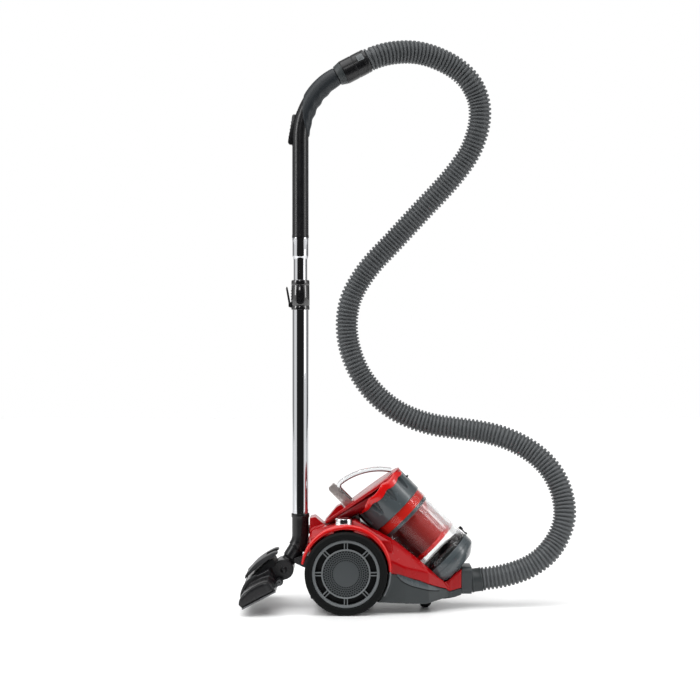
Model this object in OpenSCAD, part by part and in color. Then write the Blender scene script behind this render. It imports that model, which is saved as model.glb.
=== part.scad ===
// Bagless canister vacuum cleaner, parked upright with its wand, nozzle and hose.
// Millimetres. +X points to the hose port, +Y to the machine's left side, +Z up from the floor.

/* [Wheels] */
// Radius of the big rear wheels
wheel_r = 86; // [84:0.5:87]
// Width of each tyre
tyre_w = 36; // [30:1:38]
// Radius where the tyre meets its hub
hub_r = 71; // [69:0.5:73]
// Radius of the small castor wheels
castor_r = 13; // [11:0.5:13]

/* [Canister] */
// Half width of the body between the wheels
body_half = 82; // [81:0.5:83]
// Thickness of the moulded walls
wall = 3; // [2.5:0.5:3]
// Outer radius of the arches over the wheels
arch_r = 94.5; // [94:0.5:96]

/* [Dust bin] */
// Outer radius of the collar on top of the bin
bin_r = 67; // [66:0.5:67]
// Height of the fluted collar
collar_h = 51; // [48:1:52]
// Length of the clear cup below the collar
cup_h = 138.5; // [136:0.5:139]
// Number of finger flutes round the collar
flutes = 10; // [8:1:12]

/* [Wand] */
// Outer diameter of the chrome wand tube
wand_d = 35; // [34:0.5:36]
// Height of the top of the lock collar
lock_top = 701.5; // [695:0.5:705]
// Diameter of the inner, sliding tube
inner_d = 30; // [28:0.5:30]
// Radius of the bend in the hand grip
grip_bend = 152; // [150:1:154]

/* [Hose] */
// Outer diameter of the ribbed hose
hose_d = 50; // [46:1:50]

/* [Nozzle] */
// Width of the floor nozzle
nozzle_w = 260; // [240:2:270]

/* [Hidden] */
$fn = 64;

red = [0.72, 0.06, 0.06];
slate = [0.27, 0.29, 0.30];
black = [0.06, 0.06, 0.065];
chrome = [0.80, 0.81, 0.83];
steel = [0.62, 0.63, 0.65];
run_gap = 0.05;          // radial play of a running fit
play = 0.5;              // gap round a piece that slides or tilts
wheel_x = -23.5;
tyre_in = 84;            // inner face of each tyre from the centre plane
tyre_out = tyre_in + tyre_w;
well_r = wheel_r + 3.5;
axle_r = 5;
pedal_x = -28;
pedal_y = 72;
castor_x = 158;          // swivel axis of the castor
castor_trail = 12;
bin_top = [48, 0, 244];  // centre of the collar's top edge
bin_lean = 135;          // from +Z, so the bin points down to the front
cup_end = collar_h + cup_h;
cup_r = bin_r - 1;
cup_wall = 2.5;
cradle_r = 69.2;
duct_r = 11.5;
port_face = [244, 0, 56];
port_tilt = 83;          // of the port's axis from +Z
cuff_l = 24;
wand_x = -121.5;
wand_r = wand_d / 2;
inner_r = inner_d / 2;
lock_bottom = 637;
elbow_top = 200.6;
elbow_z = 154;           // where the elbow starts to bend
elbow_bend = 50;
elbow_turn = 32;
neck_top = [wand_x - elbow_bend * (1 - cos(elbow_turn)), 0, elbow_z - elbow_bend * sin(elbow_turn)];
neck_l = 51.3;
flare_z = 753;
grip_z = 792;            // bottom of the black handle tube
grip_bend_z = 1006;
grip_turn = 62.5;
grip_end = [wand_x + grip_bend * (1 - cos(grip_turn)), 0, grip_bend_z + grip_bend * sin(grip_turn)];
socket_l = 70;
sole_tilt = 27.5;
nozzle_tip = [-239.2, 0, 13.7];
barrel = [106, 24];      // tilt axis in the nozzle's own frame

// Points that the hose runs through, from the hand grip down to the port
hose_out = [sin(grip_turn), 0, cos(grip_turn)];
hose_in = [-sin(port_tilt), 0, -cos(port_tilt)];
hose_route = concat([grip_end + (socket_l + 0.3) * hose_out], [
    [55, 5, 1186], [95, 15, 1194], [135, 25, 1194], [175, 35, 1184], [215, 45, 1165],
    [245, 50, 1138], [264, 60, 1105], [270, 65, 1070], [265, 70, 1030], [248, 80, 985],
    [220, 85, 944], [186, 90, 904], [149, 95, 865], [112, 100, 825], [75, 105, 785],
    [38, 105, 746], [8, 110, 706], [-14, 110, 662], [-22, 115, 616], [-19, 115, 570],
    [-6, 110, 526], [15, 110, 486], [46, 105, 449], [84, 100, 419], [128, 95, 398],
    [175, 90, 385], [225, 85, 378], [275, 80, 371], [323, 70, 359], [368, 65, 338],
    [406, 55, 309], [433, 45, 272], [448, 35, 229], [449, 25, 185], [433, 20, 142],
    [404, 10, 107], [365, 5, 82], [318, 0, 67]], [port_face - cuff_l * hose_in]);

// ---- helpers ----

// An outline in X and Z, extruded from y0 to y1
module side(pts, y0, y1) translate([0, y1, 0]) rotate([90, 0, 0]) linear_extrude(y1 - y0) polygon(pts);

// A cylinder along Y
module rod_y(x, z, r, y0, y1) translate([x, y1, z]) rotate([90, 0, 0]) cylinder(r = r, h = y1 - y0);

// A tube along Y
module ring_y(x, z, r_out, r_in, y0, y1) difference() {
    rod_y(x, z, r_out, y0, y1);
    rod_y(x, z, r_in, y0 - 1, y1 + 1);
}

// A tube along Z
module ring(r_out, r_in, z0, z1) difference() {
    translate([0, 0, z0]) cylinder(r = r_out, h = z1 - z0);
    translate([0, 0, z0 - 1]) cylinder(r = r_in, h = z1 - z0 + 2);
}

module box(lo, hi) translate(lo) cube(hi - lo);

module both_sides() {
    children();
    mirror([0, 1, 0]) children();
}

module on_bin() translate(bin_top) rotate([0, bin_lean, 0]) children();
module on_neck() translate(neck_top) rotate([0, elbow_turn, 0]) children();
module on_nozzle() translate(nozzle_tip) rotate([0, -sole_tilt, 0]) children();
module on_port() translate(port_face) rotate([0, port_tilt, 0]) children();
module on_grip_end() translate(grip_end) rotate([0, grip_turn, 0]) children();

// An arc of tube in the centre plane
module bend(centre, r_bend, r_tube, from, turn) translate([centre[0], 0, centre[1]])
    rotate([90, 0, 0]) rotate_extrude(angle = turn, start = from) translate([r_bend, 0]) circle(r = r_tube);

function unit(v) = v / norm(v);

// One ring of points round a route, in the plane across the direction t
function ring_at(p, t, r, n) = let (a = unit(cross(t, [0, 1, 0])), b = cross(t, a))
    [for (k = [0 : n - 1]) p + r * (cos(360 * k / n) * a + sin(360 * k / n) * b)];

// Direction of a route at each of its points
function route_dirs(pts) = let (last = len(pts) - 1)
    [for (i = [0 : last]) unit(pts[min(i + 1, last)] - pts[max(i - 1, 0)])];

// A closed tube swept along points with given directions and one radius, or one for each point
module sweep(pts, dirs, r, n) {
    m = len(pts);
    polyhedron(
        points = [for (i = [0 : m - 1]) each ring_at(pts[i], dirs[i], is_list(r) ? r[i] : r, n)],
        faces = concat([[for (k = [0 : n - 1]) k]],
            [for (i = [0 : m - 2]) for (k = [0 : n - 1])
                [i * n + k, (i + 1) * n + k, (i + 1) * n + (k + 1) % n, i * n + (k + 1) % n]],
            [[for (k = [n - 1 : -1 : 0]) (m - 1) * n + k]]),
        convexity = 10);
}

// ---- canister shells ----

rear_low = [[-98, 30], [-101, 60], [-101, 156], [70, 150], [80, 100], [80, 24], [-80, 24]];
rear_high = [[-101, 60], [-101, 160], [-94, 171.5], [-70, 177.5], [-4, 192], [20, 176], [60, 60]];
rear_fin = [[-101, 140], [-101, 193], [-89, 196], [-70, 180], [-60, 172], [-60, 140]];
deck = [[20, 24], [20, 176], [45, 168], [83, 147], [126, 116], [155, 85], [180, 67], [192, 50],
    [192, 28.6], [144, 19], [37, 24]];
flank = [[40, 24], [40, 126], [68, 112], [120, 89], [170, 66], [189, 47], [189, 28.6], [144, 19]];
nose = [[150, 22], [150, 58], [184, 62], [222, 86], [222, 31], [206, 26], [189, 24]];
plan = [[-101, 70], [-96, 83], [-60, 101], [68, 101], [100, 94], [150, 84], [182, 60], [200, 44],
    [222, 38]];
seam = [[-130, -5], [-130, 102], [42, 102], [60, 84], [84, 82], [130, 68], [165, 54], [188, 46],
    [195, 39], [222, 45.5], [260, 45.5], [260, -5]];

// The canister's whole outer form, or the same form moved in by t
module canister(t) {
    intersection() {
        union() {
            hull() {
                side_inset(rear_low, t, body_half);
                side_inset(rear_high, t, 58);
            }
            hull() {
                side_inset(deck, t, 54);
                side_inset(flank, t, 94);
            }
            side_inset(nose, t, 46);
        }
        translate([0, 0, -5]) linear_extrude(260) offset(delta = -t)
            polygon(concat(plan, [for (i = [len(plan) - 1 : -1 : 0]) [plan[i][0], -plan[i][1]]]));
    }
}

// An outline moved in by t, extruded to both sides of the centre plane
module side_inset(pts, t, half) translate([0, half - t, 0]) rotate([90, 0, 0])
    linear_extrude(2 * (half - t)) offset(delta = -t) polygon(pts);

// Room that the dust bin needs, widened by t
module bin_room(t) on_bin() {
    translate([0, 0, -60]) cylinder(r = cradle_r + t, h = 274 + t);
    translate([0, 0, 214 + t]) cylinder(r1 = cradle_r + t, r2 = 51 + t, h = 17);
}

module arches() for (s = [-1, 1]) intersection() {
    ring_y(wheel_x, wheel_r, arch_r, well_r, s > 0 ? 80 : -100, s > 0 ? 100 : -80);
    side([[-140, 102.2], [-140, 200], [120, 200], [120, 38], [58, 38], [58, 84], [0, 102.2]], -101,
        101);
}

module wells() for (s = [-1, 1])
    rod_y(wheel_x, wheel_r, well_r, s > 0 ? body_half + 0.3 : -130, s > 0 ? 130 : -body_half - 0.3);

// Line of the air duct from the port, past the castor, where it is narrower, up to the bin
duct_route = [[217, 0, 52], [209, 8, 48.5], [201, 18, 44], [193, 26.5, 40.5], [186, 31.5, 37.6],
    [180, 36.5, 37.6], [174, 41.3, 38.8], [167, 45.3, 39], [158, 48, 38.8], [118, 47, 38.5],
    [98, 46, 48], [80, 47, 66], [62, 49, 88], [46, 50, 108], [36, 50, 130], [36.8, 44.3, 146.6],
    [46.6, 36.3, 156.4]];
duct_narrow = [0, 0, 0.3, 1.3, 2.5, 2.5, 2, 1.2, 0, 0, 0, 0, 0, 0, 0, 0, 0];

module duct_line(r) sweep(duct_route, route_dirs(duct_route), [for (t = duct_narrow) r - t], 16);

// Round hole through which the bin draws from the duct
module inlet_hole() on_bin() rotate([0, 0, 30]) translate([55, 0, 61]) rotate([0, 90, 0])
    cylinder(r = duct_r - 3, h = 25);

module castor_room(side, top) translate([castor_x, 0, 10]) cylinder(r = 28 + side, h = 24 + top);

screw_spots = [[-86, 68], [-86, -68], [96, 70], [96, -70]];

module shell_solid() {
    difference() {
        union() {
            difference() {
                union() {
                    canister(0);
                    side(rear_fin, -30, 30);
                }
                difference() {
                    canister(wall);
                    bin_room(wall);
                    castor_room(wall, 6);
                }
            }
            arches();
            both_sides() translate([pedal_x, pedal_y, 156]) cylinder(r = 22, h = 21);
            both_sides() rod_y(wheel_x, wheel_r, 12, 70, body_half);
        }
        bin_room(0);
        wells();
        castor_room(0, 0);
        translate([castor_x, 0, 30]) cylinder(r = 4 + run_gap, h = 9);
        on_port() translate([0, 0, -40]) cylinder(r = 17, h = 40);
        inlet_hole();
        both_sides() rod_y(wheel_x, wheel_r, axle_r, 74, body_half + 1);
        both_sides() translate([pedal_x, pedal_y, 140]) cylinder(r = 5 + play, h = 60);
        both_sides() translate([pedal_x, pedal_y, 140]) cylinder(r = 11, h = 34);
        both_sides() translate([pedal_x, pedal_y, 177]) cylinder(r = 21.3, h = 30);
        translate([-34, 0, 160]) cylinder(r = 20, h = 40);
        translate([-110, 43.5, 153.5]) cube([20, 13, 13]);
    }
}

module chassis_base() color(slate) difference() {
    union() {
        intersection() {
            shell_solid();
            side(seam, -130, 130);
        }
        difference() {
            box([-60, -52, 25], [-12, 12, 70]);
            rod_y(-36, 104, 50.1, -60, 20);
        }
        for (p = screw_spots) translate([p[0], p[1], p[0] > 0 ? 22.5 : 25]) cylinder(r = 5, h = 34);
    }
    for (p = screw_spots) translate([p[0], p[1], 20]) {
        cylinder(r = 2, h = 38);
        cylinder(r = 3.5, h = 6.5);
    }
}

module body_shell() color(red) difference() {
    shell_solid();
    side(seam, -130, 130);
}

module port_frame() color(slate) difference() {
    translate([222, 0, 60.5]) rotate([90, 0, 90]) linear_extrude(22) offset(r = 12)
        square([52, 34], center = true);
    on_port() translate([0, 0, -40]) cylinder(r = 20.5, h = 60);
    on_port() translate([0, 0, -0.2]) cylinder(r = 30, h = 10);
}

module inlet_duct() color(black) difference() {
    duct_line(duct_r);
    duct_line(duct_r - 2);
}

// Leaf-shaped trims let into the chassis sides
module side_inlays() color([0.33, 0.35, 0.36]) both_sides() intersection() {
    side([[72, 66], [84, 78], [120, 68], [165, 50], [172, 45], [150, 46], [100, 56]], 60, 130);
    difference() {
        linear_extrude(100) offset(delta = 1.2) polygon(concat([[0, 0]], plan));
        linear_extrude(100) polygon(concat([[0, 0]], plan));
    }
}

module wheel_axles() color(steel) both_sides() {
    rod_y(wheel_x, wheel_r, axle_r, 74, 111);
    rod_y(wheel_x, wheel_r, 9, body_half, body_half + 1.5);
}

// Black slot at the rear that takes the nozzle's neck
module park_bracket() color(black) difference() {
    side([[-101, 84], [-101, 112], [-116, 112], [-134, 106], [-136, 98], [-116, 88]], -22, 22);
    side([[-117, 80], [-117, 116], [-150, 116], [-150, 80]], -18.5, 18.5);
}

module cord_bush() color(black) translate([-106, 50, 160]) rotate([0, 90, 0]) difference() {
    union() {
        cylinder(r = 9.5, h = 5);
        translate([-6.5, -6.5, 5]) cube([13, 13, 8]);
    }
    translate([0, 0, -1]) cylinder(r = 4.5, h = 15);
}

module motor_can() color(steel) difference() {
    rod_y(-36, 104, 50, -60, 20);
    rod_y(-36, 104, 46, -57, 17);
    rod_y(-36, 104, 4 + run_gap, -61, 21);
    for (a = [0 : 60 : 300]) translate([-36, 18.5, 104]) rotate([0, a, 0]) translate([30, 0, 0])
        rotate([90, 0, 0]) cylinder(r = 6, h = 4, center = true);
}

module motor_mount() color(black) ring_y(-36, 104, 46, 36, -78.9, -60);

module pre_filter() color([0.25, 0.25, 0.28]) translate([-34, 0, 0]) ring(28, 0.1, 157, 169);

module exhaust_filter() color([0.85, 0.85, 0.82]) {
    box([-95, -60, 40], [-92, 60, 92]);
    for (y = [-56 : 8 : 56]) box([-92, y - 1, 42], [-87, y + 1, 90]);
}

module reel_spindle() color(steel) {
    rod_y(wheel_x, wheel_r, 6, 27, 70);
    rod_y(wheel_x, wheel_r, 11, 68.5, 70);
}

module control_board() color([0.1, 0.35, 0.15]) {
    box([-98, 4, 110], [-96, 40, 150]);
    box([-96, 10, 114], [-88, 20, 130]);
    box([-96, 26, 130], [-91, 36, 146]);
}

// Sleeves that the foot pedals slide on
module pedal_collars() color(red) both_sides() translate([pedal_x, pedal_y, 0]) {
    ring(14, 5 + play, 177, 180);
    ring(13.5, 11, 180, 186);
    ring(21, 18.5, 177, 184);
}

module chassis_screws() color(steel) for (p = screw_spots) translate([p[0], p[1], 0]) {
    translate([0, 0, 23.6]) cylinder(r = 3.5, h = 2.9);
    translate([0, 0, 26.5]) cylinder(r = 2, h = 31.5);
}

// ---- motor and reel ----

module motor_rotor() color([0.55, 0.35, 0.2]) {
    rod_y(-36, 104, 4, -64, 24);
    rod_y(-36, 104, 28, -36, 12);
}

module impeller() color(steel) difference() {
    union() {
        rod_y(-36, 104, 40, -54, -52);
        rod_y(-36, 104, 9, -54, -40);
        for (a = [0 : 45 : 315]) translate([-36, 0, 104]) rotate([0, a, 0])
            box([8, -52.5, -1], [38, -42, 1]);
    }
    rod_y(-36, 104, 4, -60, -30);
}

module reel_drum() color(slate) {
    ring_y(wheel_x, wheel_r, 56, 6 + run_gap, 30, 32);
    ring_y(wheel_x, wheel_r, 56, 6 + run_gap, 64, 66);
    ring_y(wheel_x, wheel_r, 24, 6 + run_gap, 32, 64);
}

// ---- wheels ----

// One window between two spokes, as a sector of a ring
module hub_window() rotate_extrude(angle = 37, start = 4) translate([50.5, -3]) square([14, 12]);

module hub() difference() {
    union() {
        ring_y(wheel_x, wheel_r, hub_r, 66, tyre_in + 2, tyre_out - 4);
        rod_y(wheel_x, wheel_r, hub_r - 0.5, 111, tyre_out - 5);
        rod_y(wheel_x, wheel_r, 12, tyre_in + 2, tyre_out - 4);
        translate([wheel_x, tyre_out - 5, wheel_r]) rotate([-90, 0, 0]) cylinder(r1 = 27, r2 = 22, h = 2);
    }
    rod_y(wheel_x, wheel_r, axle_r + run_gap, tyre_in, 111.5);
    translate([wheel_x, 110, wheel_r]) rotate([-90, 0, 0]) for (a = [0 : 45 : 315]) rotate([0, 0, a])
        hub_window();
}

module tyre() translate([wheel_x, tyre_in, wheel_r]) rotate([-90, 0, 0]) rotate_extrude($fn = 96)
    polygon(concat([[hub_r, 0], [wheel_r - 5, 0]],
        [for (a = [-75 : 15 : 0]) [wheel_r - 5 + 5 * cos(a), 5 + 5 * sin(a)]],
        [for (a = [0 : 15 : 75]) [wheel_r - 5 + 5 * cos(a), tyre_w - 5 + 5 * sin(a)]],
        [[wheel_r - 5, tyre_w], [hub_r, tyre_w]]));

module hub_left() color(slate) hub();
module tyre_left() color(black) tyre();
module hub_right() color(slate) mirror([0, 1, 0]) hub();
module tyre_right() color(black) mirror([0, 1, 0]) tyre();

module castor_fork() color(black) {
    translate([castor_x, 0, 29]) cylinder(r = 13, h = 4.5);
    translate([castor_x, 0, 33]) cylinder(r = 4, h = 5.5);
    side([[castor_x - 4, 30], [castor_x + 8, 30], [castor_x - 4, 8], [castor_x - 16, 6],
        [castor_x - 18, 14], [castor_x - 12, 22], [castor_x - 8, 29]], -3.5, 3.5);
    rod_y(castor_x - castor_trail, castor_r, 2.5, -13, 13);
}

module castor_wheels() color(black) for (s = [-1, 1])
    ring_y(castor_x - castor_trail, castor_r, castor_r, 2.5 + run_gap, s > 0 ? 4 : -12, s > 0 ? 12 : -4);

// ---- foot pedals and their springs ----

module pedal() {
    ring(18, 14.5, 182, 196);
    translate([0, 0, 193]) cylinder(r = 14.6, h = 3.5);
    translate([0, 0, 196]) cylinder(r1 = 18, r2 = 15, h = 1.8);
    translate([0, 0, 158]) cylinder(r = 5, h = 36);
}

module coil_spring() {
    turns = 5;
    steps = 14;
    rise = 11;
    pts = [for (i = [0 : turns * steps]) let (a = 360 * i / steps)
        [8 * cos(a), 8 * sin(a), 1 + rise * i / (turns * steps)]];
    sweep(pts, route_dirs(pts), 0.8, 6);
}

module power_pedal() color(chrome) translate([pedal_x, -pedal_y, 0]) pedal();
module rewind_pedal() color(chrome) translate([pedal_x, pedal_y, 0]) pedal();
module power_spring() color(steel) translate([pedal_x, -pedal_y, 180]) coil_spring();
module rewind_spring() color(steel) translate([pedal_x, pedal_y, 180]) coil_spring();

// ---- dust bin and its lid ----

module lid_form(t) hull() {
    on_bin() translate([0, 0, -10 + t]) cylinder(r = 68.5 - t, h = 10 - 2 * t, $fn = 48);
    box([-69 + t, -32 + t, 181 + t], [-58, 32 - t, 186 - t]);
}

module bin_lid() color(red) difference() {
    lid_form(0);
    difference() {
        lid_form(2.5);
        on_bin() box([50, -18, -60], [76, 18, 10]);
    }
    on_bin() box([53.4 - play, -14 - play, -70], [71.8 + play, 14 + play, -22]);
    on_bin() translate([0, 0, -4]) cylinder(r = 20, h = 6);
    translate([-34, 0, 176]) cylinder(r = 20, h = 14);
}

handle_centre = [48.4, 158.5];
handle_r = 142;

module handle_arc(r_out, r_in, half) translate([handle_centre[0], 0, handle_centre[1]])
    rotate([90, 0, 0]) rotate_extrude(angle = 53, start = 77.5) translate([r_in, -half])
    square([r_out - r_in, 2 * half]);

module carry_handle() color([0.85, 0.86, 0.88]) difference() {
    union() {
        handle_arc(handle_r, handle_r - 7, 13);
        on_bin() side([[50.6, -70], [52.8, -81], [52.8, -30], [50.6, -30]], -13, 13);
    }
    lid_form(0);
}

module handle_strip() color([0.35, 0.03, 0.03]) difference() {
    union() {
        handle_arc(handle_r - 7, handle_r - 9.5, 12);
        on_bin() side([[50.6, -68], [46, -62], [48.4, -30], [50.6, -30]], -12, 12);
    }
    handle_arc(handle_r + 1, handle_r - 7, 14);
    lid_form(0);
    on_bin() side([[50.6, -90], [60, -90], [60, -20], [50.6, -20]], -14, 14);
}

module release_button() color([0.66, 0.62, 0.60]) on_bin() box([53.4, -14, -85], [71.8, 14, -28]);

module bin_collar() color([0.33, 0.36, 0.38]) on_bin() difference() {
    union() {
        ring(bin_r, bin_r - 4.5, 0, collar_h);
        ring(bin_r - 2, 20, 0, 3);
    }
    for (i = [0 : flutes - 1]) rotate([0, 0, 20 + 90 + 360 * i / flutes])
        translate([bin_r + 5, 0, -2]) rotate([0, 9, 0]) cylinder(r = 8, h = 34);
}

module bin_cup() color([0.86, 0.90, 0.92, 0.35]) difference() {
    on_bin() {
        ring(cup_r, cup_r - cup_wall, collar_h, cup_end);
        for (s = [-1, 1]) box([-74, s * 7.6 - 1, cup_end - 14], [-cup_r + 1.5, s * 7.6 + 1, cup_end - 5]);
    }
    inlet_hole();
    on_bin() rod_y(-71, cup_end - 10, 1.5, -12, 12);
}

module filter_band() color([0.80, 0.10, 0.06, 0.6]) difference() {
    on_bin() ring(cup_r - cup_wall - 0.5, cup_r - cup_wall - 2.5, collar_h + 0.5, collar_h + 20);
    inlet_hole();
}

module filter_frame() color(slate) on_bin() {
    ring(cup_r - cup_wall - 0.5, 43, collar_h + 20, collar_h + 28);
    ring(43.2, 41, collar_h + 28, 157);
    translate([0, 0, 157]) cylinder(r = 52, h = 3);
    ring(52, 48, 150, 157);
}

module filter_mesh() color([0.78, 0.12, 0.08]) on_bin() ring(45, 43.2, collar_h + 28, 157);

// Pleated cartridge inside the mesh
module hepa_filter() color([0.9, 0.9, 0.86]) on_bin() translate([0, 0, 84]) difference() {
    linear_extrude(70, convexity = 10) polygon([for (i = [0 : 71])
        let (a = 5 * i, r = i % 2 == 0 ? 39 : 33) [r * cos(a), r * sin(a)]]);
    translate([0, 0, -1]) cylinder(r = 26, h = 72);
}

module bin_seal() color(black) on_bin() ring(cup_r, cup_r - 5, cup_end, cup_end + 1.5);

module bin_door() color([0.30, 0.32, 0.34]) on_bin() translate([0, 0, cup_end + 1.5]) difference() {
    union() {
        cylinder(r = 68, h = 22.5);
        translate([0, 0, 22.5]) cylinder(r1 = 68, r2 = 49, h = 16);
    }
    translate([0, 0, -1]) cylinder(r = 65, h = 23);
    translate([0, 0, 21.9]) cylinder(r1 = 65, r2 = 46, h = 13.5);
}

// Black lever that holds the bin's bottom shut
module door_latch() color(black) on_bin() {
    box([-73.5, -6, cup_end - 17], [-69.2, 6, cup_end + 6]);
    box([-76, -6, cup_end - 17], [-73, 6, cup_end - 13]);
    rod_y(-71, cup_end - 10, 1.5 - run_gap, -8.6, 8.6);
}

// ---- wand, elbow and hand grip ----

module wand_elbow() color(black) difference() {
    union() {
        translate([wand_x, 0, elbow_z]) cylinder(r = 18.7, h = elbow_top - elbow_z);
        bend([wand_x - elbow_bend, elbow_z], elbow_bend, 18.7, -elbow_turn, elbow_turn);
    }
    translate([wand_x, 0, elbow_z]) cylinder(r = 15.5, h = 60);
    translate([wand_x, 0, 168]) cylinder(r = wand_r, h = 60);
    bend([wand_x - elbow_bend, elbow_z], elbow_bend, 15.5, -elbow_turn - 1, elbow_turn + 1);
}

module wand_outer() color(chrome) translate([wand_x, 0, 0]) ring(wand_r, wand_r - 1, 168, 662);

module lock_collar() color(black) translate([wand_x, 0, 0]) difference() {
    union() {
        translate([0, 0, lock_bottom]) cylinder(r = 20, h = lock_top - lock_bottom);
        both_sides() box([-25.5, 4.5, 644], [-16, 6.5, 652]);
    }
    rod_y(-22.5, 648, 1.5, -10, 10);
    translate([0, 0, lock_bottom - 1]) cylinder(r = wand_r, h = 663 - lock_bottom);
    translate([0, 0, 600]) cylinder(r = inner_r + run_gap, h = 150);
}

// Thumb lever that frees the sliding tube
module lock_lever() color(black) translate([wand_x, 0, 0]) {
    side([[-20.8, 646], [-24.5, 645], [-31, 683], [-29.5, 687], [-27, 684], [-21.2, 652]], -4, 4);
    rod_y(-22.5, 648, 1.5 - run_gap, -6.5, 6.5);
}

module wand_inner() color(chrome) translate([wand_x, 0, 0]) {
    ring(inner_r, inner_r - 1, 262, flare_z - 8);
    difference() {
        translate([0, 0, flare_z - 8]) cylinder(r1 = inner_r, r2 = wand_r, h = 8);
        translate([0, 0, flare_z - 8.01]) cylinder(r1 = inner_r - 1, r2 = wand_r - 1, h = 8.02);
    }
    ring(wand_r, wand_r - 1, flare_z, grip_z);
}

module grip_bore(r) {
    translate([wand_x, 0, grip_z]) cylinder(r = r, h = grip_bend_z - grip_z);
    bend([wand_x + grip_bend, grip_bend_z], grip_bend, r, 180 - grip_turn, grip_turn);
}

module handle_tube() color(black) difference() {
    grip_bore(wand_r + 0.2);
    grip_bore(wand_r - 3);
    on_slide() box([-8, -7, -42.5], [9, 7, 33]);
}

// Soft sleeve whose lower end runs to a point on the inside of the bend
module hand_grip() color([0.16, 0.18, 0.20]) difference() {
    bend([wand_x + grip_bend, grip_bend_z], grip_bend, 19.6, 180 - grip_turn + 0.5, grip_turn - 2);
    bend([wand_x + grip_bend, grip_bend_z], grip_bend, wand_r + 0.25, 180 - grip_turn - 1, grip_turn + 1);
    translate([wand_x, 0, 0]) side([[-3.2, 1106.8], [21, 1007.1], [21, 990], [-48.5, 990], [-48.5, 1106.8]],
        -30, 30);
}

module hose_socket() color(black) on_grip_end() difference() {
    union() {
        cylinder(r1 = 20.5, r2 = 26, h = 34);
        translate([0, 0, 34]) cylinder(r = 26, h = socket_l - 34);
    }
    translate([0, 0, -1]) cylinder(r = wand_r - 3, h = socket_l + 2);
    rotate([0, 0, 70]) box([-29, -7.5, 48.5], [-20.5, 7.5, 64.5]);
}

// Place of the air slider, on the outside of the handle's bend
module on_slide() translate([wand_x - 15.6, 0, 1032.5]) rotate([0, 9, 0]) children();

// Slides open an air hole to lower the suction
module suction_slider() color(black) on_slide() side([[5.5, -41], [-1.5, -41], [-4.6, -36], [-5.2, -25],
    [-2.4, -10], [0.2, 8], [2.2, 22], [5, 22]], -6.5, 6.5);

module socket_button() color(slate) on_grip_end() rotate([0, 0, 70]) box([-27.5, -7, 49], [-22.5, 7, 64]);

// ---- floor nozzle ----

module nozzle_neck() color(black) difference() {
    union() {
        on_neck() translate([0, 0, -26]) cylinder(r = 17, h = 25.5);
        on_neck() translate([0, 0, -42]) cylinder(r = 15, h = 18);
        on_nozzle() rod_y(barrel[0], barrel[1], 21.3, -23, 23);
        on_nozzle() rod_y(barrel[0], barrel[1], 6, -34, 34);
    }
    on_neck() translate([0, 0, -neck_l]) cylinder(r = 12, h = neck_l + 10);
    on_nozzle() translate([barrel[0] - 30, 0, barrel[1]]) rotate([0, 90, 0]) cylinder(r = 11, h = 30);
}

end_cap = [[2, 3], [-1, 12], [6, 21], [18, 28], [36, 33], [60, 33], [76, 30], [80, 20], [80, 3]];
hood = [[4, 18], [12, 30], [24, 39], [38, 43], [60, 42], [82, 42], [84, 10], [60, 8]];
ear = [[78, 6], [78, 42], [92, 44], [106, 46], [106, 2.5], [90, 5]];

module nozzle_head() color(black) on_nozzle() difference() {
    union() {
        side(end_cap, -nozzle_w / 2, nozzle_w / 2);
        side(hood, -68, 68);
        both_sides() side(ear, 23.6, 33.6);
        both_sides() rod_y(barrel[0], barrel[1], 21.5, 23.6, 33.6);
    }
    difference() {
        side([[5, 2], [5, 16], [20, 24], [60, 26], [76, 24], [76, 2]], 3 - nozzle_w / 2, nozzle_w / 2 - 3);
        side([[28, 9], [52, 9], [52, 30], [28, 30]], -nozzle_w, -30);
        side([[28, 9], [52, 9], [52, 30], [28, 30]], 30, nozzle_w);
    }
    translate([60, 0, 22]) rotate([0, 90, 0]) cylinder(r = 13, h = 40);
    rod_y(barrel[0], barrel[1], 6 + run_gap, -40, 40);
    rod_y(barrel[0], barrel[1], 22, -23.6, 23.6);
    both_sides() box([77, 35.5, -1], [98, 58.3, 16]);
}

slot_u = [14, 66];       // front and rear brush slots along the sole

module sole_plate() color([0.4, 0.4, 0.42]) on_nozzle() difference() {
    union() {
        box([2, -nozzle_w / 2, 0], [80, nozzle_w / 2, 3]);
        both_sides() for (y = [36, 55]) side([[78, 0], [78, 3], [82, 12], [92, 12], [93, 4], [88, 1]],
            y, y + 2.8);
    }
    box([28, -100, -1], [52, 100, 4]);
    for (u = slot_u) box([u - 2, -118, -1], [u + 2, 118, 4]);
    rod_y(88, 7, 2, -70, 70);
}

module nozzle_pedal() color([0.13, 0.13, 0.14]) on_nozzle() difference() {
    union() {
        side([[34, 49], [36, 52], [60, 63], [90, 67], [112, 66], [112, 60], [90, 60], [60, 55]], -46, 46);
        both_sides() side([[90, 62], [104, 62], [104, 47], [96, 47]], 34.2, 38);
        both_sides() rod_y(100, 51, 2.5, 30, 36);
    }
    box([86, -20, 40], [120, 20, 80]);
}

module brush_strips() color([0.15, 0.15, 0.16]) on_nozzle() for (u = slot_u)
    box([u - 1.5, -116, 1], [u + 1.5, 116, 11]);

module nozzle_rollers() color(slate) on_nozzle() both_sides() {
    rod_y(88, 7, 8, 40, 54);
    rod_y(88, 7, 2 - run_gap, 36, 57.5);
}

// ---- hose ----

module hose() color([0.25, 0.26, 0.27]) {
    mid = [for (i = [1 : len(hose_route) - 2]) route_dirs(hose_route)[i]];
    sweep(hose_route, concat([hose_out], mid, [hose_in]), hose_d / 2, 12);
}

module hose_cuff() color([0.2, 0.21, 0.22]) on_port() difference() {
    union() {
        cylinder(r = 26, h = cuff_l);
        translate([0, 0, -18]) cylinder(r = 20.5 - run_gap, h = 19);
    }
    translate([0, 0, -21]) cylinder(r = 17, h = cuff_l + 22);
}

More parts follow.
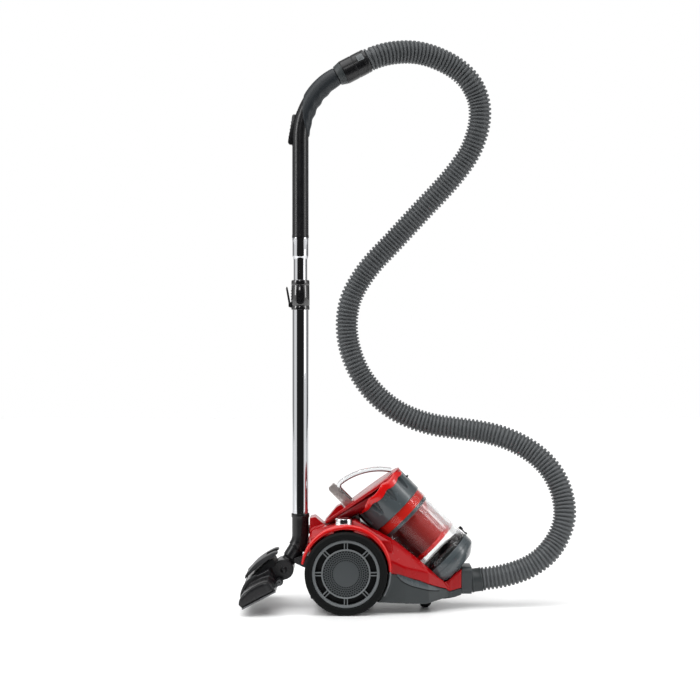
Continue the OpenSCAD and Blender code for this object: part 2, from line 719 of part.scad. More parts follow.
chassis_base();
body_shell();
port_frame();
inlet_duct();
side_inlays();
wheel_axles();
park_bracket();
cord_bush();
motor_can();
motor_mount();
pre_filter();
exhaust_filter();
reel_spindle();
control_board();
pedal_collars();
chassis_screws();
motor_rotor();
impeller();
reel_drum();
hub_right();
tyre_right();
hub_left();
tyre_left();
castor_fork();
castor_wheels();
power_pedal();
rewind_pedal();
power_spring();
rewind_spring();
bin_lid();
carry_handle();
handle_strip();
release_button();
bin_collar();
bin_cup();
filter_band();
filter_frame();
filter_mesh();
hepa_filter();
bin_seal();
bin_door();
door_latch();
wand_elbow();
wand_outer();
lock_collar();
lock_lever();
wand_inner();
handle_tube();
hand_grip();
hose_socket();
suction_slider();
socket_button();
nozzle_neck();
nozzle_head();
sole_plate();
nozzle_pedal();
brush_strips();
nozzle_rollers();
hose();
hose_cuff();
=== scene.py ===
from math import copysign, cos, degrees, exp, pi, radians, sin, sqrt

import bmesh
import bpy
import numpy as np
from mathutils import Matrix, Vector


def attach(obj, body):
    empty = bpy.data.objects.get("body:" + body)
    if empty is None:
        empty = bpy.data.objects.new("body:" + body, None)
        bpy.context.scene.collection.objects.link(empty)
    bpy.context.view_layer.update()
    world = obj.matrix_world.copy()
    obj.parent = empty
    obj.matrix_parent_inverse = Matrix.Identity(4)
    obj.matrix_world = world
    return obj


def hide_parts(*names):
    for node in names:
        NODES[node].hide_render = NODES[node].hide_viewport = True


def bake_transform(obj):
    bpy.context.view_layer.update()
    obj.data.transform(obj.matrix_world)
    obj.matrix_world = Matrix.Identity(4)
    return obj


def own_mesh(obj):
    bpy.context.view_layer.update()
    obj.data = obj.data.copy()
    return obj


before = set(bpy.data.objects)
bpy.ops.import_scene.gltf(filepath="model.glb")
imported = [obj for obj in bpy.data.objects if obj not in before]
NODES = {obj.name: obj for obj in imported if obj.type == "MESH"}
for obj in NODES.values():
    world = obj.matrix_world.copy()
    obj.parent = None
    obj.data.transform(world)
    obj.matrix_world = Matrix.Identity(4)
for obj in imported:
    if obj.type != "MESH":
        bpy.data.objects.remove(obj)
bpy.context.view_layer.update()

MM = 0.001


def turn(degrees, axis="Y"):
    return Matrix.Rotation(radians(degrees), 4, axis)


def at(x, y, z):
    return Matrix.Translation((x, y, z))


# Frames of the part, in millimetres: the leaning bin, the tilted nozzle, the port, the grip's end
WORLD = Matrix.Identity(4)
BIN = at(48, 0, 244) @ turn(135)
NOZZLE = at(-239.2, 0, 13.7) @ turn(-27.5)
PORT = at(244, 0, 56) @ turn(83)
GRIP_END = at(-39.69, 0, 1140.83) @ turn(62.5)
NECK = at(-129.1, 0, 127.5) @ turn(32)
WAND_X = -121.5
WHEEL = (-23.5, 86.0)
FLIP = Matrix.Diagonal((1, -1, 1, 1))

# ---------------- camera
camera = bpy.data.objects.new("camera", bpy.data.cameras.new("camera"))
bpy.context.scene.collection.objects.link(camera)
camera.location = (-0.015, -3.3, 0.551)
camera.rotation_euler = (radians(90), 0, 0)
camera.data.lens = 79
camera.data.sensor_width = 36
bpy.context.scene.camera = camera


# ---------------- materials
class Shader:
    """A Principled material with helpers for the nodes that vary it."""

    def __init__(self, name, colour, rough, metal=0.0, coat=0.0, ior=1.5, transmission=0.0):
        self.mat = bpy.data.materials.new(name)
        self.mat.use_nodes = True
        self.nodes = self.mat.node_tree.nodes
        self.link = self.mat.node_tree.links.new
        self.main = self.nodes["Principled BSDF"]
        self.colour = colour
        self.rough = rough
        self.set("Base Color", (*colour, 1))
        self.set("Roughness", rough)
        self.set("Metallic", metal)
        self.set("Coat Weight", coat)
        self.set("Coat Roughness", 0.05)
        self.set("IOR", ior)
        self.set("Transmission Weight", transmission)
        self.coords = self.node("ShaderNodeTexCoord").outputs["Object"]

    def set(self, socket, value):
        self.main.inputs[socket].default_value = value

    def node(self, kind, **values):
        n = self.nodes.new(kind)
        for key, value in values.items():
            if key in n.inputs:
                n.inputs[key].default_value = value
            else:
                setattr(n, key, value)
        return n

    def noise(self, scale, detail=3.0, stretch=None):
        n = self.node("ShaderNodeTexNoise", Scale=scale, Detail=detail)
        source = self.coords
        if stretch:
            m = self.node("ShaderNodeMapping")
            m.inputs["Scale"].default_value = stretch
            self.link(source, m.inputs["Vector"])
            source = m.outputs["Vector"]
        self.link(source, n.inputs["Vector"])
        return n.outputs["Fac"]

    def ramp(self, value, low, high, out_low, out_high):
        m = self.node("ShaderNodeMapRange")
        self.link(value, m.inputs["Value"])
        for key, v in (("From Min", low), ("From Max", high), ("To Min", out_low), ("To Max", out_high)):
            m.inputs[key].default_value = v
        return m.outputs["Result"]

    def mix_colours(self, share, first, second):
        """The base colour, from the first to the second as share goes from 0 to 1."""
        m = self.node("ShaderNodeMix", data_type="RGBA")
        self.link(share, m.inputs[0])
        m.inputs[6].default_value = (*first, 1)          # sockets 6 and 7 are the two colours
        m.inputs[7].default_value = (*second, 1)
        self.link(m.outputs[2], self.main.inputs["Base Color"])
        return self

    def vary_colour(self, scale, amount):
        """Mottles the colour towards a darker one."""
        darker = [c * (1 - amount) for c in self.colour]
        return self.mix_colours(self.ramp(self.noise(scale), 0.35, 0.65, 0, 1), self.colour, darker)

    def vary_rough(self, scale, amount, stretch=None):
        value = self.ramp(self.noise(scale, stretch=stretch), 0.3, 0.7, self.rough - amount,
                          self.rough + amount)
        self.link(value, self.main.inputs["Roughness"])
        return self

    def bump(self, scale, strength, distance, detail=2.0, stretch=None):
        b = self.node("ShaderNodeBump", Strength=strength, Distance=distance)
        self.link(self.noise(scale, detail, stretch), b.inputs["Height"])
        self.link(b.outputs["Normal"], self.main.inputs["Normal"])
        return self


def plastic(name, colour, rough, grain=0.25, coat=0.0, shine=0.5):
    """Moulded plastic: slight colour drift, uneven gloss and fine spark-eroded grain."""
    s = Shader(name, colour, rough, coat=coat)
    s.set("Specular IOR Level", shine)
    s.vary_colour(14, 0.05).vary_rough(60, min(0.05, rough * 0.2))
    s.bump(2600, grain, 0.00005)
    return s.mat


def metal(name, colour, rough, brushed=None, share=1.0):
    """Polished metal, or brushed along the axis where brushed is small. share is how metallic it is."""
    s = Shader(name, colour, rough, metal=share)
    s.vary_rough(90, rough * 0.4, brushed)
    s.bump(900, 0.08, 0.00004, stretch=brushed)
    return s.mat


def clear(name, colour, rough=0.02, share=1.0, solid=0.42):
    """Clear plastic. solid is its alpha, so that the lights reach what is behind it."""
    s = Shader(name, colour, rough, ior=1.3, transmission=share)
    s.set("Alpha", solid)
    s.vary_rough(40, rough * 0.5)
    return s.mat


def painted_light_screen(name, dark, light, middle, reach):
    """Mesh with painted light: its colour goes from dark to light across the bin's axis, a painted highlight
    on its upper front side and painted shade below it.
    """
    s = Shader(name, dark, 0.35)
    dot = s.node("ShaderNodeVectorMath", operation="DOT_PRODUCT")
    dot.inputs[1].default_value = (0.707, 0, 0.707)
    s.link(s.coords, dot.inputs[0])
    s.mix_colours(s.ramp(dot.outputs["Value"], middle - reach, middle + reach, 0, 1), dark, light)
    s.vary_rough(200, 0.08)
    return s.mat


RED = plastic("red_gloss", (0.33, 0.002, 0.004), 0.24, 0.02, coat=0.08, shine=0.25)
RED_BRIGHT = plastic("red_bright", (0.56, 0.006, 0.006), 0.20, 0.02, coat=0.3, shine=0.4)
# A darker copy of the body red: painted shade, on the lid's sides and the exhaust louvres.
RED_PAINTED_SHADE = plastic("red_painted_shade", (0.17, 0.002, 0.004), 0.28, 0.02, coat=0.08, shine=0.25)
DARK_RED = plastic("dark_red", (0.13, 0.004, 0.006), 0.15, 0.02, coat=0.5)
SLATE = plastic("slate", (0.036, 0.042, 0.044), 0.40, 0.2, shine=0.35)
HUB = plastic("hub_grey", (0.046, 0.052, 0.055), 0.42, 0.2, shine=0.3)
HUB_LIGHT = plastic("hub_rim_grey", (0.120, 0.130, 0.135), 0.36, 0.3)
COLLAR = plastic("collar_grey", (0.058, 0.070, 0.076), 0.24, 0.05, coat=0.25, shine=0.4)
BLACK = plastic("black_plastic", (0.007, 0.007, 0.008), 0.30, 0.05, coat=0.1, shine=0.35)
GLOSS_BLACK = plastic("black_gloss", (0.008, 0.008, 0.009), 0.12, 0.0, coat=0.8, shine=0.6)
BLACK_MATT = plastic("black_matt", (0.006, 0.0065, 0.007), 0.6, 0.5, shine=0.15)
PEDAL_GREY = plastic("pedal_grey", (0.034, 0.035, 0.037), 0.42, 0.2, shine=0.15)
# A still darker, matt copy of the body red: painted shade, on the saddle under the lid's tail.
RED_MATT_PAINTED_SHADE = plastic("red_matt_painted_shade", (0.09, 0.001, 0.002), 0.7, 0.1, shine=0.04)
TYRE = plastic("tyre_rubber", (0.0045, 0.005, 0.005), 0.6, 0.3, shine=0.1)
GRIP = plastic("grip_rubber", (0.018, 0.022, 0.026), 0.45, 0.4, shine=0.35)
HOSE = plastic("hose_plastic", (0.088, 0.094, 0.098), 0.42, 0.1, shine=0.3)
CHROME = metal("wand_chrome", (0.60, 0.61, 0.63), 0.06, (1, 1, 0.02))
TRIM_CHROME = metal("trim_chrome", (0.86, 0.86, 0.87), 0.07)
SILVER = metal("silver_trim", (0.50, 0.455, 0.44), 0.32, share=0.75)
STEEL = metal("steel", (0.56, 0.57, 0.59), 0.26, (1, 0.05, 1))
DARK_STEEL = metal("dark_steel", (0.16, 0.165, 0.17), 0.34, (1, 0.05, 1))
COPPER = metal("copper", (0.62, 0.28, 0.13), 0.3)
CLEAR = clear("clear_plastic", (0.97, 0.98, 0.985))
SMOKE = clear("clear_handle", (0.80, 0.82, 0.83), 0.06, solid=0.8)
RED_CLEAR = clear("red_clear", (0.80, 0.030, 0.020), 0.15, 0.3, 0.92)
# The red mesh's colour holds painted light: lighter towards the upper right as a painted highlight, darker
# towards the lower left as painted shade.
MESH = painted_light_screen("red_mesh", (0.035, 0.001, 0.001), (0.55, 0.018, 0.012), 0.2085, 0.045)
PINK = clear("pink_vane", (0.95, 0.42, 0.42), 0.08)
BOARD = plastic("board_green", (0.02, 0.16, 0.05), 0.35, 0.2)


def cloth(name, colour, scale):
    s = Shader(name, colour, 0.85)
    s.vary_colour(scale * 0.3, 0.3).bump(scale, 0.8, 0.0006, 4)
    return s.mat


FOAM = cloth("filter_foam", (0.03, 0.033, 0.04), 900)
PAPER = cloth("filter_paper", (0.72, 0.70, 0.63), 300)
BRISTLE = cloth("bristle", (0.02, 0.02, 0.022), 1500)


# ---------------- mesh tools
def finish_mesh(mesh, sharp):
    for p in mesh.polygons:
        p.use_smooth = True
    mesh.set_sharp_from_angle(angle=radians(sharp))


def new_object(name, bm, mat, sharp=35):
    bmesh.ops.remove_doubles(bm, verts=bm.verts, dist=1e-6)
    bmesh.ops.recalc_face_normals(bm, faces=bm.faces)
    mesh = bpy.data.meshes.new(name)
    bm.to_mesh(mesh)
    bm.free()
    finish_mesh(mesh, sharp)
    for m in mat if isinstance(mat, list) else [mat]:
        mesh.materials.append(m)
    obj = bpy.data.objects.new(name, mesh)
    bpy.context.scene.collection.objects.link(obj)
    return obj


def own(obj, body, slot, *nodes):
    """Says which body a piece rides on and the CAD nodes that it stands for. slot is not used."""
    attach(obj, body)
    if nodes:
        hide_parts(*nodes)
    return obj


def apply(obj):
    """Bakes an object's modifiers into its mesh."""
    graph = bpy.context.evaluated_depsgraph_get()
    mesh = bpy.data.meshes.new_from_object(obj.evaluated_get(graph))
    obj.modifiers.clear()
    obj.data = mesh
    return obj


def bevel(obj, width, segments=3):
    m = obj.modifiers.new("bevel", "BEVEL")
    m.width, m.segments, m.limit_method = width * MM, segments, "ANGLE"
    m.angle_limit = radians(32)
    apply(obj)
    finish_mesh(obj.data, 50)
    return obj


def round_ring(r, z, n):
    """Points round the local Z axis."""
    return [(r * cos(2 * pi * k / n), r * sin(2 * pi * k / n), z) for k in range(n)]


class Shape:
    """Collects faces in millimetres, in a local frame."""

    def __init__(self, frame_=WORLD):
        self.bm = bmesh.new()
        self.frame = frame_
        self.paint = 0

    def vert(self, x, y, z):
        return self.bm.verts.new((self.frame @ Vector((x, y, z))) * MM)

    def face(self, verts):
        try:
            self.bm.faces.new(verts).material_index = self.paint
        except ValueError:
            pass

    def loft(self, rings, caps=True, closed=False):
        """Skins rings of points. closed joins the last ring to the first."""
        rows = [[self.vert(*p) for p in ring] for ring in rings]
        pairs = list(zip(rows, rows[1:])) + ([(rows[-1], rows[0])] if closed else [])
        for a, b in pairs:
            n = len(a)
            for k in range(n):
                self.face((a[k], a[(k + 1) % n], b[(k + 1) % n], b[k]))
        if caps and not closed:
            self.face(rows[0][::-1])
            self.face(rows[-1])
        return self

    def lathe(self, profile, n=96, closed=True):
        """Turns (r, z) points round the local Z axis. A closed profile makes a ring."""
        return self.loft([round_ring(r, z, n) for r, z in profile], closed=closed, caps=not closed)

    def prism(self, outline, y0, y1):
        """An outline in local X and Z, from y0 to y1."""
        rows = [[self.vert(x, y, z) for x, z in outline] for y in (y0, y1)]
        n = len(outline)
        for k in range(n):
            self.face((rows[0][k], rows[0][(k + 1) % n], rows[1][(k + 1) % n], rows[1][k]))
        self.face(rows[0][::-1])
        self.face(rows[1])
        return self

    def block(self, low, high):
        (x0, y0, z0), (x1, y1, z1) = low, high
        return self.prism([(x0, z0), (x1, z0), (x1, z1), (x0, z1)], y0, y1)

    def done(self, name, mat, sharp=35):
        return new_object(name, self.bm, mat, sharp)


def carve(obj, place, low, high):
    """Cuts a box-shaped pocket out of a piece, for the moving piece in it."""
    tool = Shape(place).block(low, high).done("cutter", BLACK)
    m = obj.modifiers.new("pocket", "BOOLEAN")
    m.object, m.operation, m.solver = tool, "DIFFERENCE", "EXACT"
    apply(obj)
    bpy.data.objects.remove(tool)
    finish_mesh(obj.data, 35)
    return obj


def rounded(profile, radius, steps=3):
    """Rounds the corners of a closed outline."""
    out = []
    n = len(profile)
    for i, p in enumerate(profile):
        p = Vector(p)
        before, after = Vector(profile[i - 1]) - p, Vector(profile[(i + 1) % n]) - p
        r = min(radius, before.length * 0.45, after.length * 0.45)
        a, b = p + before.normalized() * r, p + after.normalized() * r
        for k in range(steps + 1):
            t = k / steps
            out.append(tuple(a * (1 - t) ** 2 + p * 2 * t * (1 - t) + b * t ** 2))
    return out


def spline(points, per=8):
    """A smooth curve through points (Catmull-Rom)."""
    pts = [Vector(p) for p in points]
    pts = [2 * pts[0] - pts[1]] + pts + [2 * pts[-1] - pts[-2]]
    out = []
    for i in range(1, len(pts) - 2):
        a, b, c, d = pts[i - 1:i + 3]
        for k in range(per):
            t = k / per
            out.append(0.5 * (2 * b + (c - a) * t + (2 * a - 5 * b + 4 * c - d) * t * t
                              + (3 * b - a - 3 * c + d) * t ** 3))
    return out + [pts[-2]]


def even(points, step):
    """The same curve with points about step apart."""
    p = np.array([list(q) for q in points])
    s = np.concatenate([[0], np.cumsum(np.linalg.norm(np.diff(p, axis=0), axis=1))])
    t = np.linspace(0, s[-1], max(2, round(s[-1] / step) + 1))
    return np.stack([np.interp(t, s, p[:, i]) for i in range(3)], 1), s[-1]


def averaged(values, reach):
    """Each value averaged with its neighbours, reach of them on either side."""
    width = 2 * reach + 1
    return np.convolve(np.pad(values, reach, "edge"), np.ones(width) / width, "valid")


def circle(centre, along, r, n, up=(0, 1, 0)):
    """Points of a circle square to a direction."""
    a = np.cross(along, up)
    a /= np.linalg.norm(a)
    b = np.cross(along, a)
    return [tuple(centre + r * (cos(2 * pi * k / n) * a + sin(2 * pi * k / n) * b))
            for k in range(n)]


def tube(shape, path, radii, n, up=(0, 1, 0)):
    """Lofts circles along a path, with caps."""
    p = np.asarray(path, float)
    d = np.gradient(p, axis=0)
    d /= np.linalg.norm(d, axis=1)[:, None]
    return shape.loft([circle(q, t, r, n, up) for q, t, r in zip(p, d, radii)])


def soften(name, node, mat, body, slot, voxel, passes, keep=0.4):
    """A CAD node's own shape with its edges rounded as in a mould."""
    bm = bmesh.new()
    bm.from_mesh(NODES[node].data)
    obj = new_object(name, bm, mat)
    m = obj.modifiers.new("voxels", "REMESH")
    m.mode, m.voxel_size, m.use_smooth_shade = "VOXEL", voxel * MM, True
    s = obj.modifiers.new("smooth", "SMOOTH")
    s.iterations, s.factor = passes, 0.5
    d = obj.modifiers.new("fewer", "DECIMATE")
    d.ratio = keep
    apply(obj)
    finish_mesh(obj.data, 60)
    return own(obj, body, slot, node)


# ---------------- hose
GRIP_OUT = Vector((0.88701, 0, 0.46175))
PORT_IN = Vector((-0.99255, 0, -0.12187))
HOSE_ROUTE = [
    (22.67, 0, 1173.29), (55, 5, 1186), (95, 15, 1194), (135, 25, 1194), (175, 35, 1184),
    (215, 45, 1165), (245, 50, 1138), (264, 60, 1105), (270, 65, 1070), (265, 70, 1030),
    (248, 80, 985), (220, 85, 944), (186, 90, 904), (149, 95, 865), (112, 100, 825), (75, 105, 785),
    (38, 105, 746), (8, 110, 706), (-14, 110, 662), (-22, 115, 616), (-19, 115, 570), (-6, 110, 526),
    (15, 110, 486), (46, 105, 449), (84, 100, 419), (128, 95, 398), (175, 90, 385), (225, 85, 378),
    (275, 80, 371), (323, 70, 359), (368, 65, 338), (406, 55, 309), (433, 45, 272), (448, 35, 229),
    (449, 25, 185), (433, 20, 142), (404, 10, 107), (365, 5, 82), (318, 0, 67), (267.82, 0, 58.92)]
HOSE_PITCH = 8.4
# One rib: share of the pitch, radius
RIB = ((0.0, 20.6), (0.14, 20.4), (0.26, 23.9), (0.36, 24.9), (0.50, 25.0), (0.66, 24.9), (0.78, 23.9),
       (0.90, 20.8))


def make_hose():
    """The ribbed hose as one mesh, with its centre line and its length in metres."""
    route = [Vector(p) for p in HOSE_ROUTE]
    fine, length = even(spline(route, 16), 0.25)
    s = np.linspace(0, length, len(fine))
    turns = round(length / HOSE_PITCH)
    where, radii = [], []
    for i in range(turns):
        for phase, r in RIB:
            where.append((i + phase) * length / turns)
            radii.append(r)
    where.append(length)
    radii.append(RIB[0][1])
    reach = 60                                       # 15 mm of the curve on either side
    smooth = np.stack([averaged(fine[:, i], reach) for i in range(3)], 1)
    smooth[:reach + 1], smooth[-reach - 1:] = fine[:reach + 1], fine[-reach - 1:]
    slope = np.gradient(smooth, axis=0)
    path = np.stack([np.interp(where, s, smooth[:, i]) for i in range(3)], 1)
    d = np.stack([np.interp(where, s, slope[:, i]) for i in range(3)], 1)
    d /= np.linalg.norm(d, axis=1)[:, None]
    d[:8], d[-8:] = np.array(GRIP_OUT), np.array(PORT_IN)
    rings = [circle(q, t, r, 40) for q, t, r in zip(path, d, radii)]
    hose = Shape().loft(rings).done("ribbed_hose", HOSE, 50)
    track = [Vector(p) * MM for p in even(smooth, 20)[0]]
    track[0], track[-1] = route[0] * MM, route[-1] * MM
    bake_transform(hose)
    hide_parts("hose")
    return hose, track, length * MM


hose, hose_track, hose_length = make_hose()

# ---------------- simple CAD nodes keep their shape
for mat, nodes in (
        (STEEL, "wheel_axles motor_can reel_spindle chassis_screws impeller"),
        (BLACK, "cord_bush inlet_duct nozzle_rollers"), (BLACK_MATT, "motor_mount bin_seal"),
        (PAPER, "exhaust_filter hepa_filter"), (FOAM, "pre_filter"), (BOARD, "control_board"),
        (COPPER, "motor_rotor"), (SLATE, "reel_drum"), (TYRE, "castor_wheels"), (BRISTLE, "brush_strips"),
        (DARK_STEEL, "sole_plate")):
    for node in nodes.split():
        NODES[node].data.materials.clear()
        NODES[node].data.materials.append(mat)

# ---------------- canister
def side_name(side):
    return "left" if side > 0 else "right"


soften("red_body", "body_shell", RED, "canister", "red_shell", 1.5, 12, 0.5)
soften("grey_base", "chassis_base", SLATE, "canister", "grey_shell", 1.5, 10, 0.5)
soften("port_surround", "port_frame", HUB, "canister", "grey_shell", 1.0, 5)
head = soften("nozzle_body", "nozzle_head", BLACK, "head", "black_plastic", 1.2, 5)
for v in head.data.vertices:                     # leaves room for the end caps
    if abs(v.co.y) > 0.1:
        v.co.y *= 0.966
soften("nozzle_joint", "nozzle_neck", BLACK, "neck", "black_plastic", 1.1, 5)
soften("castor_housing", "castor_fork", BLACK, "castor", "black_plastic", 0.7, 3)
soften("parking_hook", "park_bracket", BLACK, "canister", "black_plastic", 0.8, 3)


def arc_xz(cx, cz, r, a0, a1, n):
    return [(cx + r * cos(radians(a)), cz + r * sin(radians(a)))
            for a in np.linspace(a0, a1, n)]


def make_fender(side, name, a0, a1, mat, slot, reach):
    """The glossy lip round a wheel's arch, from 3.4 mm wide to that plus reach at its top."""
    rings = []
    for a in np.linspace(radians(a0), radians(a1), 90):
        w = 3.4 + reach * max(0.0, sin((degrees(a) + 2) * pi / 174)) ** 0.8
        section = rounded([(89.8, 94.5), (89.8, 100.2), (91.1, 101.3), (91.2 + 0.4 * w, 101.3),
                           (91.2 + 0.72 * w, 100.2), (91.2 + 0.94 * w, 98), (91.2 + w, 94.5)], 1.6, 5)
        rings.append([(WHEEL[0] + r * cos(a), side * y, WHEEL[1] + r * sin(a)) for r, y in section])
    own(Shape().loft(rings).done(name, mat, 40), "canister", slot)


def wall_y(x):
    """Half width of the canister's side wall at a distance along it."""
    return min(94.0, float(np.interp(x, (68, 100, 150, 182, 200), (101, 94, 84, 60, 44))))


LEAF_LOW = ((83, 83), (86, 75), (96, 67), (112, 59), (130, 53.5), (150, 48.5), (165, 45.5), (174, 45.2))
LEAF_TOP = ((83, 83.5), (90, 81.5), (98, 79), (112, 73.5), (130, 67), (150, 59), (165, 52.5), (174, 46))


# Places across the leaf: share of its height, distance out from the wall
LEAF_SECTION = ((0, -2), (0.0, 0.3), (0.1, 0.95), (0.3, 1.35), (0.6, 1.45), (0.85, 1.1), (1.0, 0.5), (1, -2))
GROOVE_SECTION = ((2.0, -2), (2.0, 0.25), (1.6, 0.55), (0.2, 0.5), (0.1, -2))


def make_inlay(side):
    """Leaf let into the chassis side, with a dark groove along its lower edge."""
    xs = np.linspace(83.5, 173.5, 70)
    low = averaged(np.interp(xs, *zip(*LEAF_LOW)), 4)
    top = np.interp(xs, *zip(*LEAF_TOP))
    leaf = [[(x, side * (wall_y(x) + h), a + (b - a) * t) for t, h in LEAF_SECTION]
            for x, a, b in zip(xs, low, top)]
    groove = [[(x, side * (wall_y(x) + h), a - d) for d, h in GROOVE_SECTION] for x, a in zip(xs, low)]
    own(Shape().loft(leaf).done(f"leaf_inlay_{side_name(side)}", COLLAR, 50), "canister", "grey_shell",
        *(("side_inlays",) if side < 0 else ()))
    own(Shape().loft(groove).done(f"leaf_groove_{side_name(side)}", BLACK_MATT, 50), "canister", "grey_shell")


def make_saddle():
    """The panel under the lid's tail and the collar, with a valley for the collar."""
    s = Shape()
    s.prism(rounded([(-58, 168), (-58, 180.6), (-20, 189.4), (-2.4, 193.2), (1.5, 191.4), (19, 173.6),
                     (19, 162)], 1.5), -56, 56)
    # The saddle is the darkest copy of the red: painted shade.
    own(bevel(s.done("bin_saddle", RED_MATT_PAINTED_SHADE, 30), 0.8), "canister", "red_shell")


def make_louvres():
    """Exhaust louvres in the rear wall."""
    s = Shape()
    for k in range(7):
        z = 112 + 6 * k
        s.prism(rounded([(-103.2, z), (-100.4, z + 0.2), (-100.4, z + 3.2), (-102.6, z + 2.6)], 0.4), -52, -8)
    # The louvres are the darker copy of the red: painted shade.
    own(s.done("exhaust_louvres", RED_PAINTED_SHADE, 30), "canister", "red_shell")


def make_base_ribs():
    """Ribs across the underside."""
    s = Shape()
    for k in range(9):
        s.block((-50 + 14 * k, -44, 23.2), (-46 + 14 * k, 44, 24.4))
    own(s.done("base_ribs", SLATE, 30), "canister", "grey_shell")


for side in (-1, 1):
    make_fender(side, f"fender_lip_{side_name(side)}", 1.5, 168.5, RED_BRIGHT, "red_shell", 6.4)
    make_fender(side, f"fender_foot_{side_name(side)}", -31, 1.3, HUB_LIGHT, "grey_shell", 0)
    make_inlay(side)
make_saddle()
make_louvres()
make_base_ribs()

# ---------------- nozzle
CAP_LINE = [(2, 3), (-1, 12), (5, 21), (18, 28.5), (36, 33), (58, 33.6), (74, 31), (80, 21), (80, 3)]


def inset(outline, d, cu, cw, hu, hw):
    """An outline drawn in by about d on each side. cu, cw is its centre and hu, hw are its half sizes."""
    return [(cu + (u - cu) * (1 - d / hu), cw + (w - cw) * (1 - d / hw)) for u, w in outline]


def make_nozzle_end(side):
    """End cap of the nozzle, and thin grey lines on it that are painted highlights."""
    outline = rounded(CAP_LINE, 9, 6)
    s = Shape(NOZZLE)
    steps = ((118, 0.3), (125.6, 0.3), (127.0, 0.8), (127.9, 2.0), (127.5, 2.5), (127.5, 2.9), (128.5, 3.4),
             (129.4, 4.8), (129.9, 7.5), (130.0, 11))
    s.loft([[(u, side * y, w) for u, w in inset(outline, d, 40, 16, 41, 17)] for y, d in steps])
    own(s.done(f"nozzle_end_{side_name(side)}", BLACK, 24), "head", "black_plastic")
    # Lighter grey strips on the black cap: painted highlights along its sole line and on its four ribs.
    s = Shape(NOZZLE)
    lo, hi = sorted((side * 126, side * 130.1))
    s.prism(rounded([(5, 7.9), (76, 7.9), (76, 8.9), (5, 8.9)], 0.4), lo, hi)
    for k in range(4):
        s.prism(rounded([(66 + 3.2 * k, 11), (67.3 + 3.2 * k, 11), (67.3 + 3.2 * k, 27 - k * 2),
                         (66 + 3.2 * k, 27.5 - k * 2)], 0.4), lo, hi)
    own(s.done(f"nozzle_end_highlight_lines_{side_name(side)}", PEDAL_GREY, 30), "head", "black_plastic")


def make_hood_rim():
    """Grey edges of the front hood, beside the foot pedal."""
    front = spline([(1, 17), (5, 24), (12, 31.5), (24, 40), (38, 44.2), (52, 44.6)], 6)
    back = spline([(54, 41), (38, 39), (26, 34), (15, 26), (8, 17)], 6)
    s = Shape(NOZZLE)
    for y0, y1 in ((-69.4, -57), (57, 69.4)):
        s.prism([tuple(p)[:2] for p in front + back], y0, y1)
    own(bevel(s.done("hood_rim", PEDAL_GREY, 30), 0.8), "head", "black_plastic")


def make_pedestal():
    """The block that the foot pedal rocks on."""
    s = Shape(NOZZLE)
    s.prism(rounded([(26, 38), (52, 46.5), (86, 55.5), (98, 56), (98, 40), (60, 38)], 4), -42, 42)
    own(bevel(s.done("pedal_pedestal", BLACK_MATT, 30), 0.8), "head", "black_plastic")


def make_nozzle_pedal():
    """The big curved foot pedal, with grip bars and a notch for the neck."""
    upper = spline([(25.5, 45.6), (29, 50.6), (44, 58), (62, 64), (84, 67.2), (104, 67.2), (111.4, 64.6)], 8)
    lower = spline([(112, 61.6), (104, 60.4), (84, 58.6), (60, 54.6), (40, 49.4), (28, 45.4)], 8)
    lens = [tuple(p)[:2] for p in upper + lower]
    s = Shape(NOZZLE)
    steps = [(-46, 2.4), (-45.7, 1.0), (-44.9, 0.3), (-43.6, 0)]
    steps += [(-y, d) for y, d in reversed(steps)]
    s.loft([[(u, y, w) for u, w in inset(lens, d, 70, 58.6, 44, 8)] for y, d in steps])
    for y0, y1 in ((-38, -34.2), (34.2, 38)):
        s.prism([(90, 62), (104, 62), (104, 47), (96, 47)], y0, y1)
    for k in range(8):
        s.prism(rounded([(44 + 4.6 * k, 56.5 + 1.05 * k), (46.6 + 4.6 * k, 57 + 1.05 * k),
                         (46.6 + 4.6 * k, 60.6 + 0.82 * k), (44 + 4.6 * k, 59.9 + 0.82 * k)], 0.5), -30, 30)
    plate = carve(s.done("pedal_plate", PEDAL_GREY, 34), NOZZLE, (86, -20, 40), (120, 20, 80))
    own(plate, "floor_pedal", "black_plastic", "nozzle_pedal")


make_nozzle_end(-1)
make_nozzle_end(1)
make_hood_rim()
make_pedestal()
make_nozzle_pedal()

# ---------------- lid
TOP = at(-69, 0, 186) @ turn(-35.6)
BUTTON_POCKET = ((53.0, -14.4, -42), (72.2, 14.4, -1))
MIDDLE = 127.2           # distance along the lid's top to the middle of its round end


def lid_outline():
    """Points round the lid's flat top."""
    count = 150
    top = []
    for i in range(count):
        a = 2 * pi * (i + 0.5) / count
        du, dy = cos(a), sin(a)
        if MIDDLE * du + 68.1 >= 32 * abs(dy):
            top.append((MIDDLE + 67.2 * du, 68.2 * dy))
        else:
            top.append((0.4, copysign(32, dy)))
    return top


